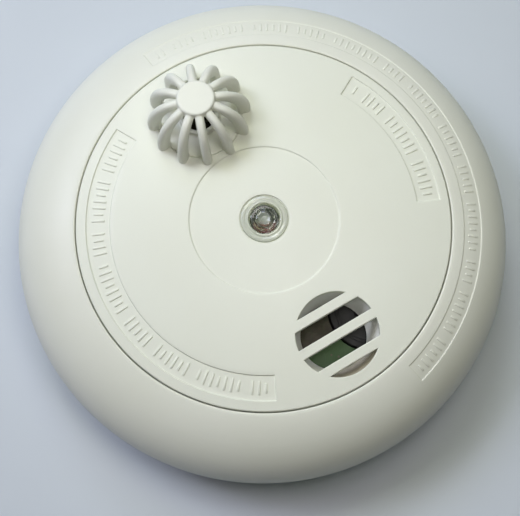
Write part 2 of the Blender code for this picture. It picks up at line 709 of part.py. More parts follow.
def housing_holes():
    """Screw holes, their counterbores, the board posts' bores and the hinge pin's bore."""
    bm = bmesh.new()
    counterbore = (COUNTERBORE_RADIUS, HOUSING_CUT_LOW_Z, COUNTERBORE_TOP_Z)
    for spot in SCREW_PLACES:
        add_cylinder(bm, *counterbore, polar(*spot), SMALL_SEGMENTS)
    for spot in BOARD_POSTS:
        add_cylinder(bm, BOARD_HOLE_RADIUS, BOARD_POST_BORE_LOW_Z, BOARD_TOP_Z, polar(*spot), TINY_SEGMENTS)
    add_pin_bore(bm)
    holes = place("housing_holes", finish_mesh("housing_holes", bm), None)
    spots = [polar(*spot) for spot in SCREW_PLACES]
    hole_span = (RING_BORE_LOW_Z, SCREW_HOLE_TOP_Z)
    join(holes, cylinders("screw_holes", None, SCREW_HOLE_RADIUS, *hole_span, spots, TINY_SEGMENTS))
    return holes


def add_pin_bore(bm):
    """Adds the hinge pin's bore, from end to end of the hinge."""
    first = EAR_SPANS[0][0] - PIN_BORE_MARGIN
    last = EAR_SPANS[1][1] + PIN_BORE_MARGIN
    add_cylinder(bm, PIN_BORE, first, last, (HINGE_Y, HINGE_Z), SMALL_SEGMENTS, axis="X")


def arc_band(bm, inner, outer, first, last, low, high):
    """Adds a curved block between two radii and two angles."""
    steps = 5
    angles = [first + (last - first) * i / steps for i in range(steps + 1)]
    rim = [polar(outer, a) for a in angles] + [polar(inner, a) for a in reversed(angles)]
    face = bm.faces.new([bm.verts.new((p.x, p.y, low)) for p in rim])
    grown = bmesh.ops.extrude_face_region(bm, geom=[face])
    raised = [v for v in grown["geom"] if isinstance(v, bmesh.types.BMVert)]
    bmesh.ops.translate(bm, verts=raised, vec=(0.0, 0.0, high - low))
    bmesh.ops.recalc_face_normals(bm, faces=bm.faces)


def bayonet_slots():
    """Curved slots for the plate's hooks: narrow under the locked hook and wide where its head goes in."""
    half = (HOOK_WIDTH / 2 + SLOT_CLEARANCE) / HOOK_RADIUS
    inner = HOOK_RADIUS - HOOK_POST / 2 - SLOT_CLEARANCE
    post_side = HOOK_RADIUS + HOOK_POST / 2 + SLOT_CLEARANCE
    head_side = inner + HOOK_HEAD + 2 * SLOT_CLEARANCE
    bm = bmesh.new()
    for angle in HOOK_ANGLES:
        entry = angle - TWIST
        arc_band(bm, inner, post_side, entry - half, angle + half, HOUSING_CUT_LOW_Z, HOUSING_CUT_HIGH_Z)
    slots = place("bayonet_slots", finish_mesh("bayonet_slots", bm), None)
    wide = bmesh.new()
    low = HOUSING_CUT_LOW_Z - CUT_STEP
    high = HOUSING_CUT_HIGH_Z + CUT_STEP
    for angle in HOOK_ANGLES:
        entry = angle - TWIST
        arc_band(wide, post_side - 2 * CUT_STEP, head_side, entry - half, entry + half, low, high)
    join(slots, place("bayonet_entries", finish_mesh("bayonet_entries", wide), None))
    return slots


def make_mounting_plate():
    """The flat ring that stays on the ceiling, with two keyholes and three bayonet hooks."""
    profile = [
        (PLATE_RADIUS - PLATE_EDGE, PLATE_THICKNESS),
        (PLATE_RADIUS, PLATE_THICKNESS - PLATE_EDGE),
        (PLATE_RADIUS, 0.0),
        (PLATE_OPENING, 0.0),
        (PLATE_OPENING, PLATE_THICKNESS),
    ]
    plate = turned("mounting_plate", profile, WHITE, RING_SEGMENTS, closed=True)
    join(plate, bayonet_hooks())
    cut(plate, keyholes())


def bayonet_hooks():
    """Three upright posts, each with a head that reaches outwards."""
    inner = HOOK_RADIUS - HOOK_POST / 2
    bm = bmesh.new()
    for angle in HOOK_ANGLES:
        low = (inner, -HOOK_WIDTH / 2, PLATE_THICKNESS - CUT_MARGIN)
        high = (inner + HOOK_POST, HOOK_WIDTH / 2, HOOK_TOP_Z)
        add_box(bm, low, high, angle)
    posts = place("hook_posts", finish_mesh("hook_posts", bm), None)
    bm = bmesh.new()
    for angle in HOOK_ANGLES:
        low = (inner + HOOK_POST / 2, FINE_CHAMFER - HOOK_WIDTH / 2, HOOK_HEAD_Z)
        high = (inner + HOOK_HEAD, HOOK_WIDTH / 2 - FINE_CHAMFER, HOOK_TOP_Z - FINE_CHAMFER)
        add_box(bm, low, high, angle)
    join(posts, place("hook_heads", finish_mesh("hook_heads", bm), None))
    return posts


def keyholes():
    """Two keyholes for the ceiling screws: a round entry and a slot that runs along Y."""
    bm = bmesh.new()
    half = KEYHOLE_SLOT_HALF_WIDTH
    for side in (-1, 1):
        x = side * KEYHOLE_RADIUS
        add_box(bm, (x - half, -KEYHOLE_REACH, -CUT_MARGIN), (x + half, KEYHOLE_REACH, KEYHOLE_CUT_HIGH_Z))
    slots = place("keyhole_slots", finish_mesh("keyhole_slots", bm), None)
    entries = [(side * KEYHOLE_RADIUS, -side * KEYHOLE_REACH) for side in (-1, 1)]
    ends = [(side * KEYHOLE_RADIUS, side * KEYHOLE_REACH) for side in (-1, 1)]
    entry_span = (-CUT_MARGIN - 2 * CUT_STEP, KEYHOLE_CUT_HIGH_Z + 2 * CUT_STEP)
    end_span = (-CUT_MARGIN - CUT_STEP, KEYHOLE_CUT_HIGH_Z + CUT_STEP)
    join(slots, cylinders("keyhole_entries", None, KEYHOLE_ENTRY_RADIUS, *entry_span, entries))
    join(slots, cylinders("keyhole_ends", None, half, *end_span, ends))
    return slots


def make_battery_door():
    """The door over the battery bay, with its two hinge knuckles and a latch tab."""
    pivot = Vector((0.0, HINGE_Y, HINGE_Z))
    door = boxes("battery_door", WHITE, [(DOOR_LOW - pivot, DOOR_HIGH - pivot)])
    door.location = pivot
    bm = bmesh.new()
    for low, high in KNUCKLE_SPANS:
        add_cylinder(bm, KNUCKLE_RADIUS, low, high, (HINGE_Y, HINGE_Z), SMALL_SEGMENTS, axis="X")
    knuckles = place("door_knuckles", finish_mesh("door_knuckles", bm), None)
    web_low_z = DOOR_LOW.z + CUT_STEP
    web_high_z = DOOR_HIGH.z - SMALL_CHAMFER
    webs = []
    for low, high in KNUCKLE_SPANS:
        web_low = (low + CUT_STEP, DOOR_HIGH.y - CUT_MARGIN, web_low_z)
        webs.append((web_low, (high - CUT_STEP, HINGE_Y, web_high_z)))
    join(door, boxes("knuckle_webs", None, webs))
    join(door, knuckles)
    tab_y = BAY_LOW.y + LATCH_SETBACK
    tab_low = (LATCH_SPAN[0], tab_y, DOOR_HIGH.z - SMALL_CHAMFER)
    tab_high = (LATCH_SPAN[1], tab_y + LATCH_THICKNESS, DOOR_HIGH.z + LATCH_HEIGHT)
    join(door, boxes("latch_tab", None, [(tab_low, tab_high)]))
    bore = bmesh.new()
    add_pin_bore(bore)
    cut(door, place("door_bore", finish_mesh("door_bore", bore), None))


def make_hinge_pin():
    """The steel pin through the ears and knuckles."""
    bm = bmesh.new()
    ends = (EAR_SPANS[0][0], EAR_SPANS[1][1])
    add_cylinder(bm, PIN_RADIUS, *ends, (HINGE_Y, HINGE_Z), TINY_SEGMENTS, axis="X")
    place("door_hinge_pin", finish_mesh("door_hinge_pin", bm), STEEL)


def make_battery():
    """The 9 V block, its two snap terminals and the bay's two contacts."""
    half = BATTERY_SIZE / 2
    battery = boxes("battery", BATTERY_SKIN, [(-half, half)])
    battery.location = BATTERY_CENTRE
    bevelled(battery, BATTERY_ROUND)
    make_terminal("positive", TERMINAL_SPACING / 2, STUD_RADIUS, SMALL_SEGMENTS)
    make_terminal("negative", -TERMINAL_SPACING / 2, SOCKET_RADIUS, SOCKET_SIDES)


def make_terminal(kind, offset, radius, segments):
    """One snap terminal, and the bent contact strip in the bay with a bump that touches it."""
    spot = (BATTERY_CENTRE.y + offset, BATTERY_CENTRE.z)
    end_x = BATTERY_CENTRE.x + BATTERY_SIZE.x / 2 + GAP
    bm = bmesh.new()
    add_cylinder(bm, radius, end_x, end_x + TERMINAL_HEIGHT, spot, segments, axis="X")
    name = "battery_terminal_" + kind
    place(name, finish_mesh(name, bm), STEEL)
    name = "battery_contact_" + kind
    strip_x = BAY_HIGH.x - GAP - CONTACT_THICKNESS
    low = (strip_x, spot[0] - CONTACT_HALF_WIDTH, BATTERY_CENTRE.z - CONTACT_REACH)
    high = (strip_x + CONTACT_THICKNESS, spot[0] + CONTACT_HALF_WIDTH, BAY_HIGH.z - GAP)
    strip = boxes(name, STEEL, [(low, high)])
    bump = bmesh.new()
    bump_ends = (end_x + TERMINAL_HEIGHT + GAP, strip_x + CONTACT_THICKNESS / 2)
    add_cylinder(bump, CONTACT_BUMP_RADIUS, *bump_ends, spot, TINY_SEGMENTS, axis="X")
    join(strip, place(name + "_bump", finish_mesh(name + "_bump", bump), None))


def disc_profile(radius, low, high):
    """The profile of a plain disc."""
    return [(0.0, high), (radius, high), (radius, low), (0.0, low)]


def make_circuit_board():
    """The round board, notched for the sounder and the springs, with its screw holes."""
    profile = disc_profile(BOARD_RADIUS, BOARD_BOTTOM_Z, BOARD_TOP_Z)
    board = turned("circuit_board", profile, BOARD_GREEN, RING_SEGMENTS)
    bite_span = (BOARD_BOTTOM_Z - CUT_MARGIN, BOARD_TOP_Z + CUT_MARGIN)
    cut(board, cylinders("board_bite", None, BOARD_BITE_RADIUS, *bite_span, [SOUNDER_CENTRE], ROUND_SEGMENTS))
    notch_span = (bite_span[0] - 2 * CUT_STEP, bite_span[1] + 2 * CUT_STEP)
    spots = [polar(*spot) for spot in SPRING_PLACES]
    cut(board, cylinders("board_notches", None, BOARD_NOTCH_RADIUS, *notch_span, spots, CAN_SEGMENTS))
    hole_span = (bite_span[0] - CUT_STEP, bite_span[1] + CUT_STEP)
    spots = [polar(*spot) for spot in BOARD_POSTS]
    cut(board, cylinders("board_holes", None, BOARD_HOLE_RADIUS, *hole_span, spots, TINY_SEGMENTS))


def screw(name, spot, head_z, tip_z, sizes):
    """A pan-head screw with a cross recess. It points up when its tip is above its head."""
    head_radius, head_height, shank_radius = sizes
    length = abs(tip_z - head_z)
    profile = [
        (0.0, length),
        (shank_radius / 2, length),
        (shank_radius, length - SCREW_TIP_TAPER),
        (shank_radius, 0.0),
        (head_radius, 0.0),
        (head_radius, -head_height / 2),
        (head_radius * 3 / 4, -head_height),
        (0.0, -head_height),
    ]
    made = turned(name, profile, STEEL, TINY_SEGMENTS)
    reach = head_radius / 2
    low = -head_height - CUT_MARGIN
    high = -head_height / 2
    recess = []
    arms = ((reach, RECESS_HALF_WIDTH, low), (RECESS_HALF_WIDTH, reach, low - CUT_STEP))
    for half_x, half_y, start in arms:
        arm = boxes(name + "_recess", None, [((-half_x, -half_y, start), (half_x, half_y, high))])
        cut(made, arm)
        recess.append(arm)
    stand = Matrix.Translation((*spot, head_z))
    if tip_z < head_z:
        stand = stand @ Matrix.Rotation(math.pi, 4, "X")
    for piece in (made, *recess):
        piece.matrix_world = stand


def make_screws():
    """Three screws hold the ring to the housing from below, and three hold the board from above."""
    for i, spot in enumerate(SCREW_PLACES):
        name = "housing_screw_%d" % (i + 1)
        screw(name, polar(*spot), HOUSING_SCREW_HEAD_Z, HOUSING_SCREW_TIP_Z, HOUSING_SCREW)
    for i, spot in enumerate(BOARD_POSTS):
        name = "board_screw_%d" % (i + 1)
        screw(name, polar(*spot), BOARD_TOP_Z + GAP, BOARD_SCREW_TIP_Z, BOARD_SCREW)


def make_thermistor():
    """The heat-sensing bead in the guard, on two leads from the board."""
    lean = GUARD_CENTRE.normalized() * math.tan(GUARD_TILT) * BEAD_RISE
    top = Vector((*(GUARD_CENTRE + lean), dome_z(GUARD_CENTRE.length) + BEAD_RISE))
    bm = bmesh.new()
    bmesh.ops.create_uvsphere(bm, u_segments=TINY_SEGMENTS, v_segments=TINY_SEGMENTS // 2, radius=BEAD_RADIUS)
    bmesh.ops.scale(bm, vec=(1.0, 1.0, BEAD_STRETCH), verts=bm.verts)
    bead = place("thermistor", finish_mesh("thermistor", bm), BLACK, top)
    for name, side in (("lead_left", -1), ("lead_right", 1)):
        foot = Vector((GUARD_CENTRE.x + side * LEAD_HALF_PITCH, GUARD_CENTRE.y, BOARD_TOP_Z + GAP))
        bend = foot + Vector((0.0, 0.0, LEAD_BEND))
        neck = top + Vector((side * LEAD_NECK.x, LEAD_NECK.y, LEAD_NECK.z))
        join(bead, place(name, wire_mesh(name, [foot, bend, neck], LEAD_RADIUS), None))


def make_lamp():
    """The red indicator lamp that stands on the board under the lens."""
    steps = 5
    dome = []
    for i in range(steps + 1):
        turn = math.pi / 2 * (1 - i / steps)
        dome.append((LED_RADIUS * math.cos(turn), LED_DOME_Z + LED_RADIUS * math.sin(turn)))
    dome[0] = (0.0, dome[0][1])
    base_z = BOARD_TOP_Z + GAP
    flange_z = base_z + LED_FLANGE_HEIGHT
    flange = [
        (LED_RADIUS, flange_z),
        (LED_FLANGE_RADIUS, flange_z),
        (LED_FLANGE_RADIUS, base_z),
        (0.0, base_z),
    ]
    turned("indicator_led", dome + flange, RED, SMALL_SEGMENTS)


def make_test_switch():
    """The push switch: its square case on the board and the plunger that the cover's boss presses."""
    base_z = BOARD_TOP_Z + GAP
    half = SWITCH_SIDE / 2
    low = (SWITCH_CENTRE.x - half, SWITCH_CENTRE.y - half, base_z)
    high = (SWITCH_CENTRE.x + half, SWITCH_CENTRE.y + half, base_z + SWITCH_HEIGHT)
    case = boxes("switch_housing", BLACK, [(low, high)])
    well_span = (base_z + SWITCH_FLOOR, base_z + SWITCH_HEIGHT + CUT_MARGIN)
    well_radius = PLUNGER_RADIUS + GAP
    cut(case, cylinders("switch_well", None, well_radius, *well_span, [SWITCH_CENTRE], SMALL_SEGMENTS))
    foot_z = base_z + SWITCH_FLOOR + BUTTON_TRAVEL + GAP
    profile = [
        (0.0, PLUNGER_TOP_Z),
        (PLUNGER_RADIUS - FINE_CHAMFER, PLUNGER_TOP_Z),
        (PLUNGER_RADIUS, PLUNGER_TOP_Z - FINE_CHAMFER),
        (PLUNGER_RADIUS, foot_z),
        (0.0, foot_z),
    ]
    turned("switch_plunger", profile, BLACK, SMALL_SEGMENTS, at=(*SWITCH_CENTRE, 0.0))


def make_sounder():
    """The sounder: a black cup with a ledge, the brass plate, the ceramic disc on it and the cap."""
    at = (*SOUNDER_CENTRE, 0.0)
    bore = SOUNDER_RADIUS - SOUNDER_WALL
    floor_z = SOUNDER_BOTTOM_Z + SOUNDER_WALL
    cup = [
        (0.0, floor_z),
        (SOUNDER_LEDGE_RADIUS, floor_z),
        (SOUNDER_LEDGE_RADIUS, SOUNDER_LEDGE_Z),
        (bore, SOUNDER_LEDGE_Z),
        (bore, SOUNDER_TOP_Z),
        (SOUNDER_RADIUS, SOUNDER_TOP_Z),
        (SOUNDER_RADIUS, SOUNDER_BOTTOM_Z),
        (0.0, SOUNDER_BOTTOM_Z),
    ]
    turned("sounder_case", cup, BLACK, at=at)
    plate_z = SOUNDER_LEDGE_Z + GAP
    plate_top = plate_z + SOUNDER_PLATE_THICKNESS
    turned("sounder_brass_plate", disc_profile(bore - GAP, plate_z, plate_top), BRASS, at=at)
    disc_z = plate_top + GAP
    disc_top = disc_z + SOUNDER_PLATE_THICKNESS
    turned("sounder_ceramic", disc_profile(SOUNDER_DISC_RADIUS, disc_z, disc_top), CERAMIC, at=at)
    cap_z = SOUNDER_TOP_Z + GAP
    cap_top = cap_z + SOUNDER_CAP_THICKNESS
    cap = [
        (SOUNDER_CAP_HOLE, cap_top),
        (SOUNDER_RADIUS - SMALL_CHAMFER, cap_top),
        (SOUNDER_RADIUS, cap_top - SMALL_CHAMFER),
        (SOUNDER_RADIUS, cap_z),
        (SOUNDER_CAP_HOLE, cap_z),
    ]
    turned("sounder_cap", cap, BLACK, closed=True, at=at)


def make_return_springs():
    """Three coil springs that lift the cover back."""
    wire_z = SPRING_BOTTOM_Z + SPRING_WIRE
    rise = SPRING_TOP_Z - SPRING_BOTTOM_Z - 2 * SPRING_WIRE
    open_rise = rise - 2 * SPRING_END_RISE
    points = []
    for i in range(SPRING_TURNS * SPRING_STEPS + 1):
        turns = i / SPRING_STEPS
        first = min(turns, 1.0)
        last = max(turns - (SPRING_TURNS - 1), 0.0)
        middle = (turns - first - last) / (SPRING_TURNS - 2)
        z = wire_z + SPRING_END_RISE * (first + last) + open_rise * middle
        points.append((*polar(SPRING_RADIUS, 2 * math.pi * turns), z))
    coil = wire_mesh("return_spring", points, SPRING_WIRE)
    coil.shade_smooth()
    for i, spot in enumerate(SPRING_PLACES):
        place("return_spring_%d" % (i + 1), coil, STEEL, (*polar(*spot), 0.0))


def can(name, look, spot, radius, height):
    """A round component that stands on the board."""
    low = BOARD_TOP_Z + GAP
    high = low + height
    profile = [
        (0.0, high),
        (radius - SMALL_CHAMFER, high),
        (radius, high - SMALL_CHAMFER),
        (radius, low),
        (0.0, low),
    ]
    turned(name, profile, look, CAN_SEGMENTS, at=(*spot, 0.0))


def make_axial_parts():
    """Three resistors and a diode: a body on a wire staple whose feet stand on the board."""
    foot_z = BOARD_TOP_Z + GAP
    wire_z = foot_z + AXIAL_RISE
    for name, (x, y) in AXIAL_PLACES.items():
        look = BLACK if name == "diode" else TAN
        bm = bmesh.new()
        ends = (x - AXIAL_HALF_LENGTH, x + AXIAL_HALF_LENGTH)
        add_cylinder(bm, AXIAL_RADIUS, *ends, (y, wire_z), TINY_SEGMENTS, axis="X")
        body = place(name, finish_mesh(name, bm), look)
        left = x - AXIAL_HALF_SPAN
        right = x + AXIAL_HALF_SPAN
        points = [(left, y, foot_z), (left, y, wire_z), (right, y, wire_z), (right, y, foot_z)]
        join(body, place(name + "_wire", wire_mesh(name + "_wire", points, LEAD_RADIUS), None))


def make_board_parts():
    """The other components of the board."""
    low = CHIP_LOW + Vector((0.0, 0.0, BOARD_TOP_Z + GAP))
    chip = boxes("alarm_chip", BLACK, [(low, low + CHIP_SIZE)])
    bevelled(chip, FINE_CHAMFER, 1)
    for name, (spot, radius, height) in CANS.items():
        can(name, COPPER if name == "inductor" else STEEL, spot, radius, height)
    make_axial_parts()


make_mounting_plate()
make_rear_housing()
make_front_ring()
make_button_cover()
make_sensor_guard()
make_indicator_lens()
make_sound_duct()
make_battery()
make_battery_door()
make_hinge_pin()
make_circuit_board()
make_board_parts()
make_thermistor()
make_lamp()
make_test_switch()
make_sounder()
make_return_springs()
make_screws()
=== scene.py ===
"""Looks of the ceiling alarm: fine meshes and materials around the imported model. Lengths are in metres."""
import math

import bmesh
import bpy
import numpy as np
from mathutils import Matrix, Vector


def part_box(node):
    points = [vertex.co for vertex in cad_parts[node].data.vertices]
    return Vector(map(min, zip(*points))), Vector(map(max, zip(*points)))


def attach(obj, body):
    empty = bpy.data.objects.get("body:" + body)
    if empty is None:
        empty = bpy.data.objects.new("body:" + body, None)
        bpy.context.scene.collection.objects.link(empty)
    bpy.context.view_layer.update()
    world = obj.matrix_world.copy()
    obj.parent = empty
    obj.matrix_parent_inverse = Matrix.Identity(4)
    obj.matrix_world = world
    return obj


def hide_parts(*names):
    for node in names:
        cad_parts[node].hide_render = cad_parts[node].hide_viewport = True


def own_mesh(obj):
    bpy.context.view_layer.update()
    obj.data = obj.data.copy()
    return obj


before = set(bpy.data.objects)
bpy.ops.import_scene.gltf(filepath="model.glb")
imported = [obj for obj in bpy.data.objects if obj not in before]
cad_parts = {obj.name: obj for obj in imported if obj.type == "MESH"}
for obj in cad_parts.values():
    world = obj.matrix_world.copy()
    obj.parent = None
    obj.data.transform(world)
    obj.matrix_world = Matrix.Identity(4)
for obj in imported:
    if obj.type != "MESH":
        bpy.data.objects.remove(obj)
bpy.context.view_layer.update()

MM = 0.001


def box_middle(name):
    """The middle of a CAD node's box, seen from above."""
    low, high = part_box(name)
    return Vector(((low.x + high.x) / 2, (low.y + high.y) / 2))


# Places read from the imported model's parts
RING_LOW, RING_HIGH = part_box("front_ring")
COVER_LOW, COVER_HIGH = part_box("button_cover")
PLATE_LOW, PLATE_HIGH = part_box("mounting_plate")
DUCT_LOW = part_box("sound_duct")[0]
LED_LOW, LED_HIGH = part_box("indicator_led")
LENS_LOW, LENS_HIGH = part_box("indicator_lens")
SOUNDER_CAP_LOW, SOUNDER_CAP_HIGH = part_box("sounder_cap")
BEAD_LOW, BEAD_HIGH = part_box("thermistor")
BATTERY_LOW, BATTERY_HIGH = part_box("battery")
GRILLE_CENTRE = box_middle("sound_duct")
SWITCH_CENTRE = box_middle("switch_plunger")

# Rim: an ellipse arc turned about Z
RIM_RADIUS = RING_HIGH.x
RIM_CENTRE = 48.0 * MM
RIM_RISE = 18.24 * MM
RIM_DROP = 26.7 * MM
RIM_WALL = 2.2 * MM
WIDEST_Z = 17.3 * MM
RING_OPENING = 55.12 * MM
LIP_WIDTH = 2.2 * MM
LIP_BOTTOM_Z = 31.5 * MM
RIM_EDGE_ROUND = 0.35 * MM

# Button cover
COVER_RADIUS = 54.8 * MM
COVER_EDGE_Z = 35.0 * MM
DOME_RADIUS = 350.0 * MM
COVER_WALL = 2.2 * MM
COVER_EDGE_ROUND = 0.5 * MM
FLANGE_TOP_Z = 31.0 * MM
DISH_RADIUS = 21.7 * MM
DISH_DEPTH = 0.3 * MM
LENS_SEAT_RADIUS = 7.15 * MM
LENS_SEAT_DEPTH = 0.7 * MM
STEM_HOLE = 4.25 * MM
# The lens's grooves as (radius, half width)
LENS_GROOVES = ((2.75 * MM, 0.34 * MM), (4.2 * MM, 0.4 * MM))
BOSS_RADIUS = 2.6 * MM
BOSS_LOW, BOSS_HIGH = 31.75 * MM, 36.0 * MM

# Guard, grille and duct
GUARD_CENTRE = Vector((-19.0, 31.1)) * MM
GUARD_TILT = math.asin(GUARD_CENTRE.length / DOME_RADIUS)
GUARD_LEAN_BACK = math.radians(2.2)
GUARD_RIBS = 12
GUARD_FIRST_RIB = math.radians(10.7)
GUARD_OPENING = 12.5 * MM
GRILLE_RADIUS = 12.1 * MM
GRILLE_TURN = math.radians(30.5)
BAR_HALF_WIDTH = 1.43 * MM
BAR_PITCH = 7.7 * MM
GRILLE_FILLET = 0.22 * MM
CUT_DRAFT = 0.06 * MM
BEAD_RADIUS = 1.6 * MM
DUCT_WALL = 1.2 * MM
DUCT_OUTLET = 10.2 * MM
DUCT_BORE = 9.7 * MM
DUCT_LEAN = Vector((-0.42, 0.32)) * MM

# Lines across the grille, measured from the origin: past the first the board is darker and brown, below the
# second the duct wall carries painted shade
DARK_BROWN_EDGE = -38.2 * MM
GRILLE_ACROSS = GRILLE_CENTRE.y * math.cos(GRILLE_TURN) - GRILLE_CENTRE.x * math.sin(GRILLE_TURN)
PAINTED_SHADE_EDGE = GRILLE_ACROSS - BAR_PITCH - 0.4 * MM
LINE_BLUR = 0.3 * MM

# Recessed panels as (inner radius, outer radius, first angle, last angle). The rim's is a share as deep
PANEL_DEPTH = 0.35 * MM
PANEL_EDGE = 0.14 * MM
COVER_PANELS = (
    (44.7 * MM, 51.7 * MM, math.radians(147.3), math.radians(273.6)),
    (45.1 * MM, 52.1 * MM, math.radians(7.3), math.radians(59.2)),
)
RIM_RELIEF = 0.6
EDGE_ROWS = (-1.4, -0.7, 0.0, 0.7, 1.4)
MARK_PITCH = 1.95 * MM
MARK_WIDTH = 0.62 * MM
MARK_GROUPS = (6, 7, 4, 8, 5)
RIM_PANELS = ((58.8 * MM, 64.4 * MM, math.radians(-45.5), math.radians(124.6)),)


# ---- mesh tools


def dome_z(radius, depth=0.0):
    """Height of the cover's domed face at a radius, less a depth."""
    return COVER_EDGE_Z + (COVER_RADIUS**2 - radius**2) / (2 * DOME_RADIUS) - depth


def smooth_step(value, low, high):
    """0 below low, 1 above high, and an S-shaped rise between."""
    share = np.clip((value - low) / (high - low), 0.0, 1.0)
    return share * share * (3 - 2 * share)


def new_piece(name, mesh, body, look, replaced=()):
    """A piece of the object: it rides on a body and takes a material slot."""
    made = bpy.data.objects.new(name, mesh)
    bpy.context.scene.collection.objects.link(made)
    mesh.materials.clear()
    mesh.materials.append(look)
    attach(made, body)
    if replaced:
        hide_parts(*replaced)
    return made


def shade(mesh, angle=35.0):
    """Smooth shading, with a crease where faces meet at more than the angle."""
    mesh.shade_smooth()
    mesh.set_sharp_from_angle(angle=math.radians(angle))
    return mesh


def mesh_from_grid(name, points, wrap_rows=False):
    """A mesh of quads from a grid of points, rows by columns, whose columns run round. Doubled points, as at
    a pole, are joined."""
    rows, columns = points.shape[:2]
    faces = []
    for i in range(rows if wrap_rows else rows - 1):
        upper, lower = i * columns, (i + 1) % rows * columns
        for j in range(columns):
            k = (j + 1) % columns
            faces.append((upper + j, lower + j, lower + k, upper + k))
    mesh = bpy.data.meshes.new(name)
    mesh.from_pydata(points.reshape(-1, 3).tolist(), [], faces)
    bm = bmesh.new()
    bm.from_mesh(mesh)
    bmesh.ops.remove_doubles(bm, verts=bm.verts, dist=1e-7)
    bmesh.ops.dissolve_degenerate(bm, edges=bm.edges, dist=1e-8)
    bm.to_mesh(mesh)
    bm.free()
    return mesh


def closed_ends(mesh):
    """The mesh with its open ends filled and its faces turned outwards."""
    bm = bmesh.new()
    bm.from_mesh(mesh)
    bmesh.ops.holes_fill(bm, edges=[e for e in bm.edges if e.is_boundary], sides=0)
    bmesh.ops.recalc_face_normals(bm, faces=bm.faces)
    bm.to_mesh(mesh)
    bm.free()
    return mesh


def in_mm(*rows):
    """Rows of numbers given in millimetres."""
    return [tuple(value * MM for value in row) for row in rows]


def hung(top, *rows):
    """Corners from rows of (radius, depth below the top, rounding) in millimetres."""
    return [(radius, top - depth, rounding) for radius, depth, rounding in in_mm(*rows)]


def rounded_profile(corners, closed=False, steps=4):
    """A profile of (radius, z) points from (radius, z, rounding) corners."""
    count = len(corners)
    points = []
    for i, (x, z, rounding) in enumerate(corners):
        if rounding <= 0 or (not closed and i in (0, count - 1)):
            points.append((x, z))
            continue
        here = Vector((x, z))
        before = Vector(corners[i - 1][:2]) - here
        after = Vector(corners[(i + 1) % count][:2]) - here
        half = before.angle(after) / 2
        cut = min(rounding / math.tan(half), 0.49 * before.length, 0.49 * after.length)
        radius = cut * math.tan(half)
        start, end = here + before.normalized() * cut, here + after.normalized() * cut
        middle = here + (before.normalized() + after.normalized()).normalized() * (radius / math.sin(half))
        for k in range(steps + 1):
            spoke = (start - middle).lerp(end - middle, k / steps)
            points.append(tuple(middle + spoke.normalized() * radius))
    return points


def turned_mesh(name, profile, segments=128, closed=False, centre=(0.0, 0.0)):
    """A profile turned about an upright line. The profile runs down its outer side."""
    angles = np.arange(segments) * 2 * math.pi / segments
    profile = np.array(profile, float)
    grid = np.zeros((len(profile), segments, 3))
    grid[:, :, 0] = profile[:, :1] * np.cos(angles) + centre[0]
    grid[:, :, 1] = profile[:, :1] * np.sin(angles) + centre[1]
    grid[:, :, 2] = profile[:, 1:]
    return mesh_from_grid(name, grid, wrap_rows=closed)


def panel_mask(radius, angle, panel):
    """How far a point lies inside a panel, from 0 to 1, with a short slope at the panel's edges."""
    inner, outer, first, last = panel
    middle, half = (first + last) / 2, (last - first) / 2
    away = np.abs((angle - middle + math.pi) % (2 * math.pi) - math.pi)
    across = smooth_step(radius, inner - PANEL_EDGE, inner + PANEL_EDGE)
    across = across * (1 - smooth_step(radius, outer - PANEL_EDGE, outer + PANEL_EDGE))
    along = 1 - smooth_step((away - half) * radius, -PANEL_EDGE, PANEL_EDGE)
    return across * along


def panel_angles(panels, step=math.radians(1.5)):
    """Column angles: an even ring, closer together at each panel's ends."""
    angles = list(np.arange(0.0, 2 * math.pi, step))
    for inner, outer, first, last in panels:
        for end in (first, last):
            reach = PANEL_EDGE / outer
            near = [(end + reach * share) % (2 * math.pi) for share in EDGE_ROWS]
            angles = [a for a in angles if min(abs(a - b) for b in near) > 2 * reach] + near
    return np.array(sorted(angles))


def panel_radii(panels, start, end, step):
    """Row radii from start to end, closer together at each panel's inner and outer edge."""
    radii = list(np.linspace(start, end, max(2, round(abs(end - start) / step))))
    for inner, outer, first, last in panels:
        for edge in (inner, outer):
            near = [edge + PANEL_EDGE * share for share in EDGE_ROWS]
            radii = [r for r in radii if min(abs(r - b) for b in near) > 1.5 * PANEL_EDGE] + near
    return np.array(sorted(radii, reverse=end < start))


def relief_grid(profile, angles, panels, flags):
    """A turned grid whose rows are sunk into the panels, along the profile's normal. A flag scales a row's
    depth."""
    profile = np.array(profile, float)
    along = np.gradient(profile, axis=0)
    normal = np.stack([-along[:, 1], along[:, 0]], axis=1)
    normal /= np.linalg.norm(normal, axis=1, keepdims=True) + 1e-12
    radius = np.repeat(profile[:, :1], len(angles), axis=1)
    height = np.repeat(profile[:, 1:], len(angles), axis=1)
    sunk = np.zeros_like(radius)
    for panel in panels:
        sunk = np.maximum(sunk, panel_mask(radius, angles[None, :], panel))
    sunk = sunk * PANEL_DEPTH * np.array(flags, float)[:, None]
    radius = radius - normal[:, :1] * sunk
    height = height - normal[:, 1:] * sunk
    return np.stack([radius * np.cos(angles), radius * np.sin(angles), height], axis=2)


def join_mesh(target, others):
    """Adds other meshes to a mesh, as they stand, and removes them."""
    bm = bmesh.new()
    bm.from_mesh(target)
    for other in others:
        bm.from_mesh(other)
        bpy.data.meshes.remove(other)
    bm.to_mesh(target)
    bm.free()
    return target


def final_mesh(holder):
    """The mesh of an object with its modifiers. The object is removed."""
    bpy.context.view_layer.update()
    evaluated = holder.evaluated_get(bpy.context.evaluated_depsgraph_get())
    mesh = bpy.data.meshes.new_from_object(evaluated)
    mesh.name = holder.data.name
    bpy.data.objects.remove(holder)
    return mesh


def modified_mesh(mesh, add_modifiers):
    """The mesh after the modifiers that add_modifiers puts on its object."""
    body = bpy.data.objects.new("modified_body", mesh)
    bpy.context.scene.collection.objects.link(body)
    add_modifiers(body)
    return final_mesh(body)


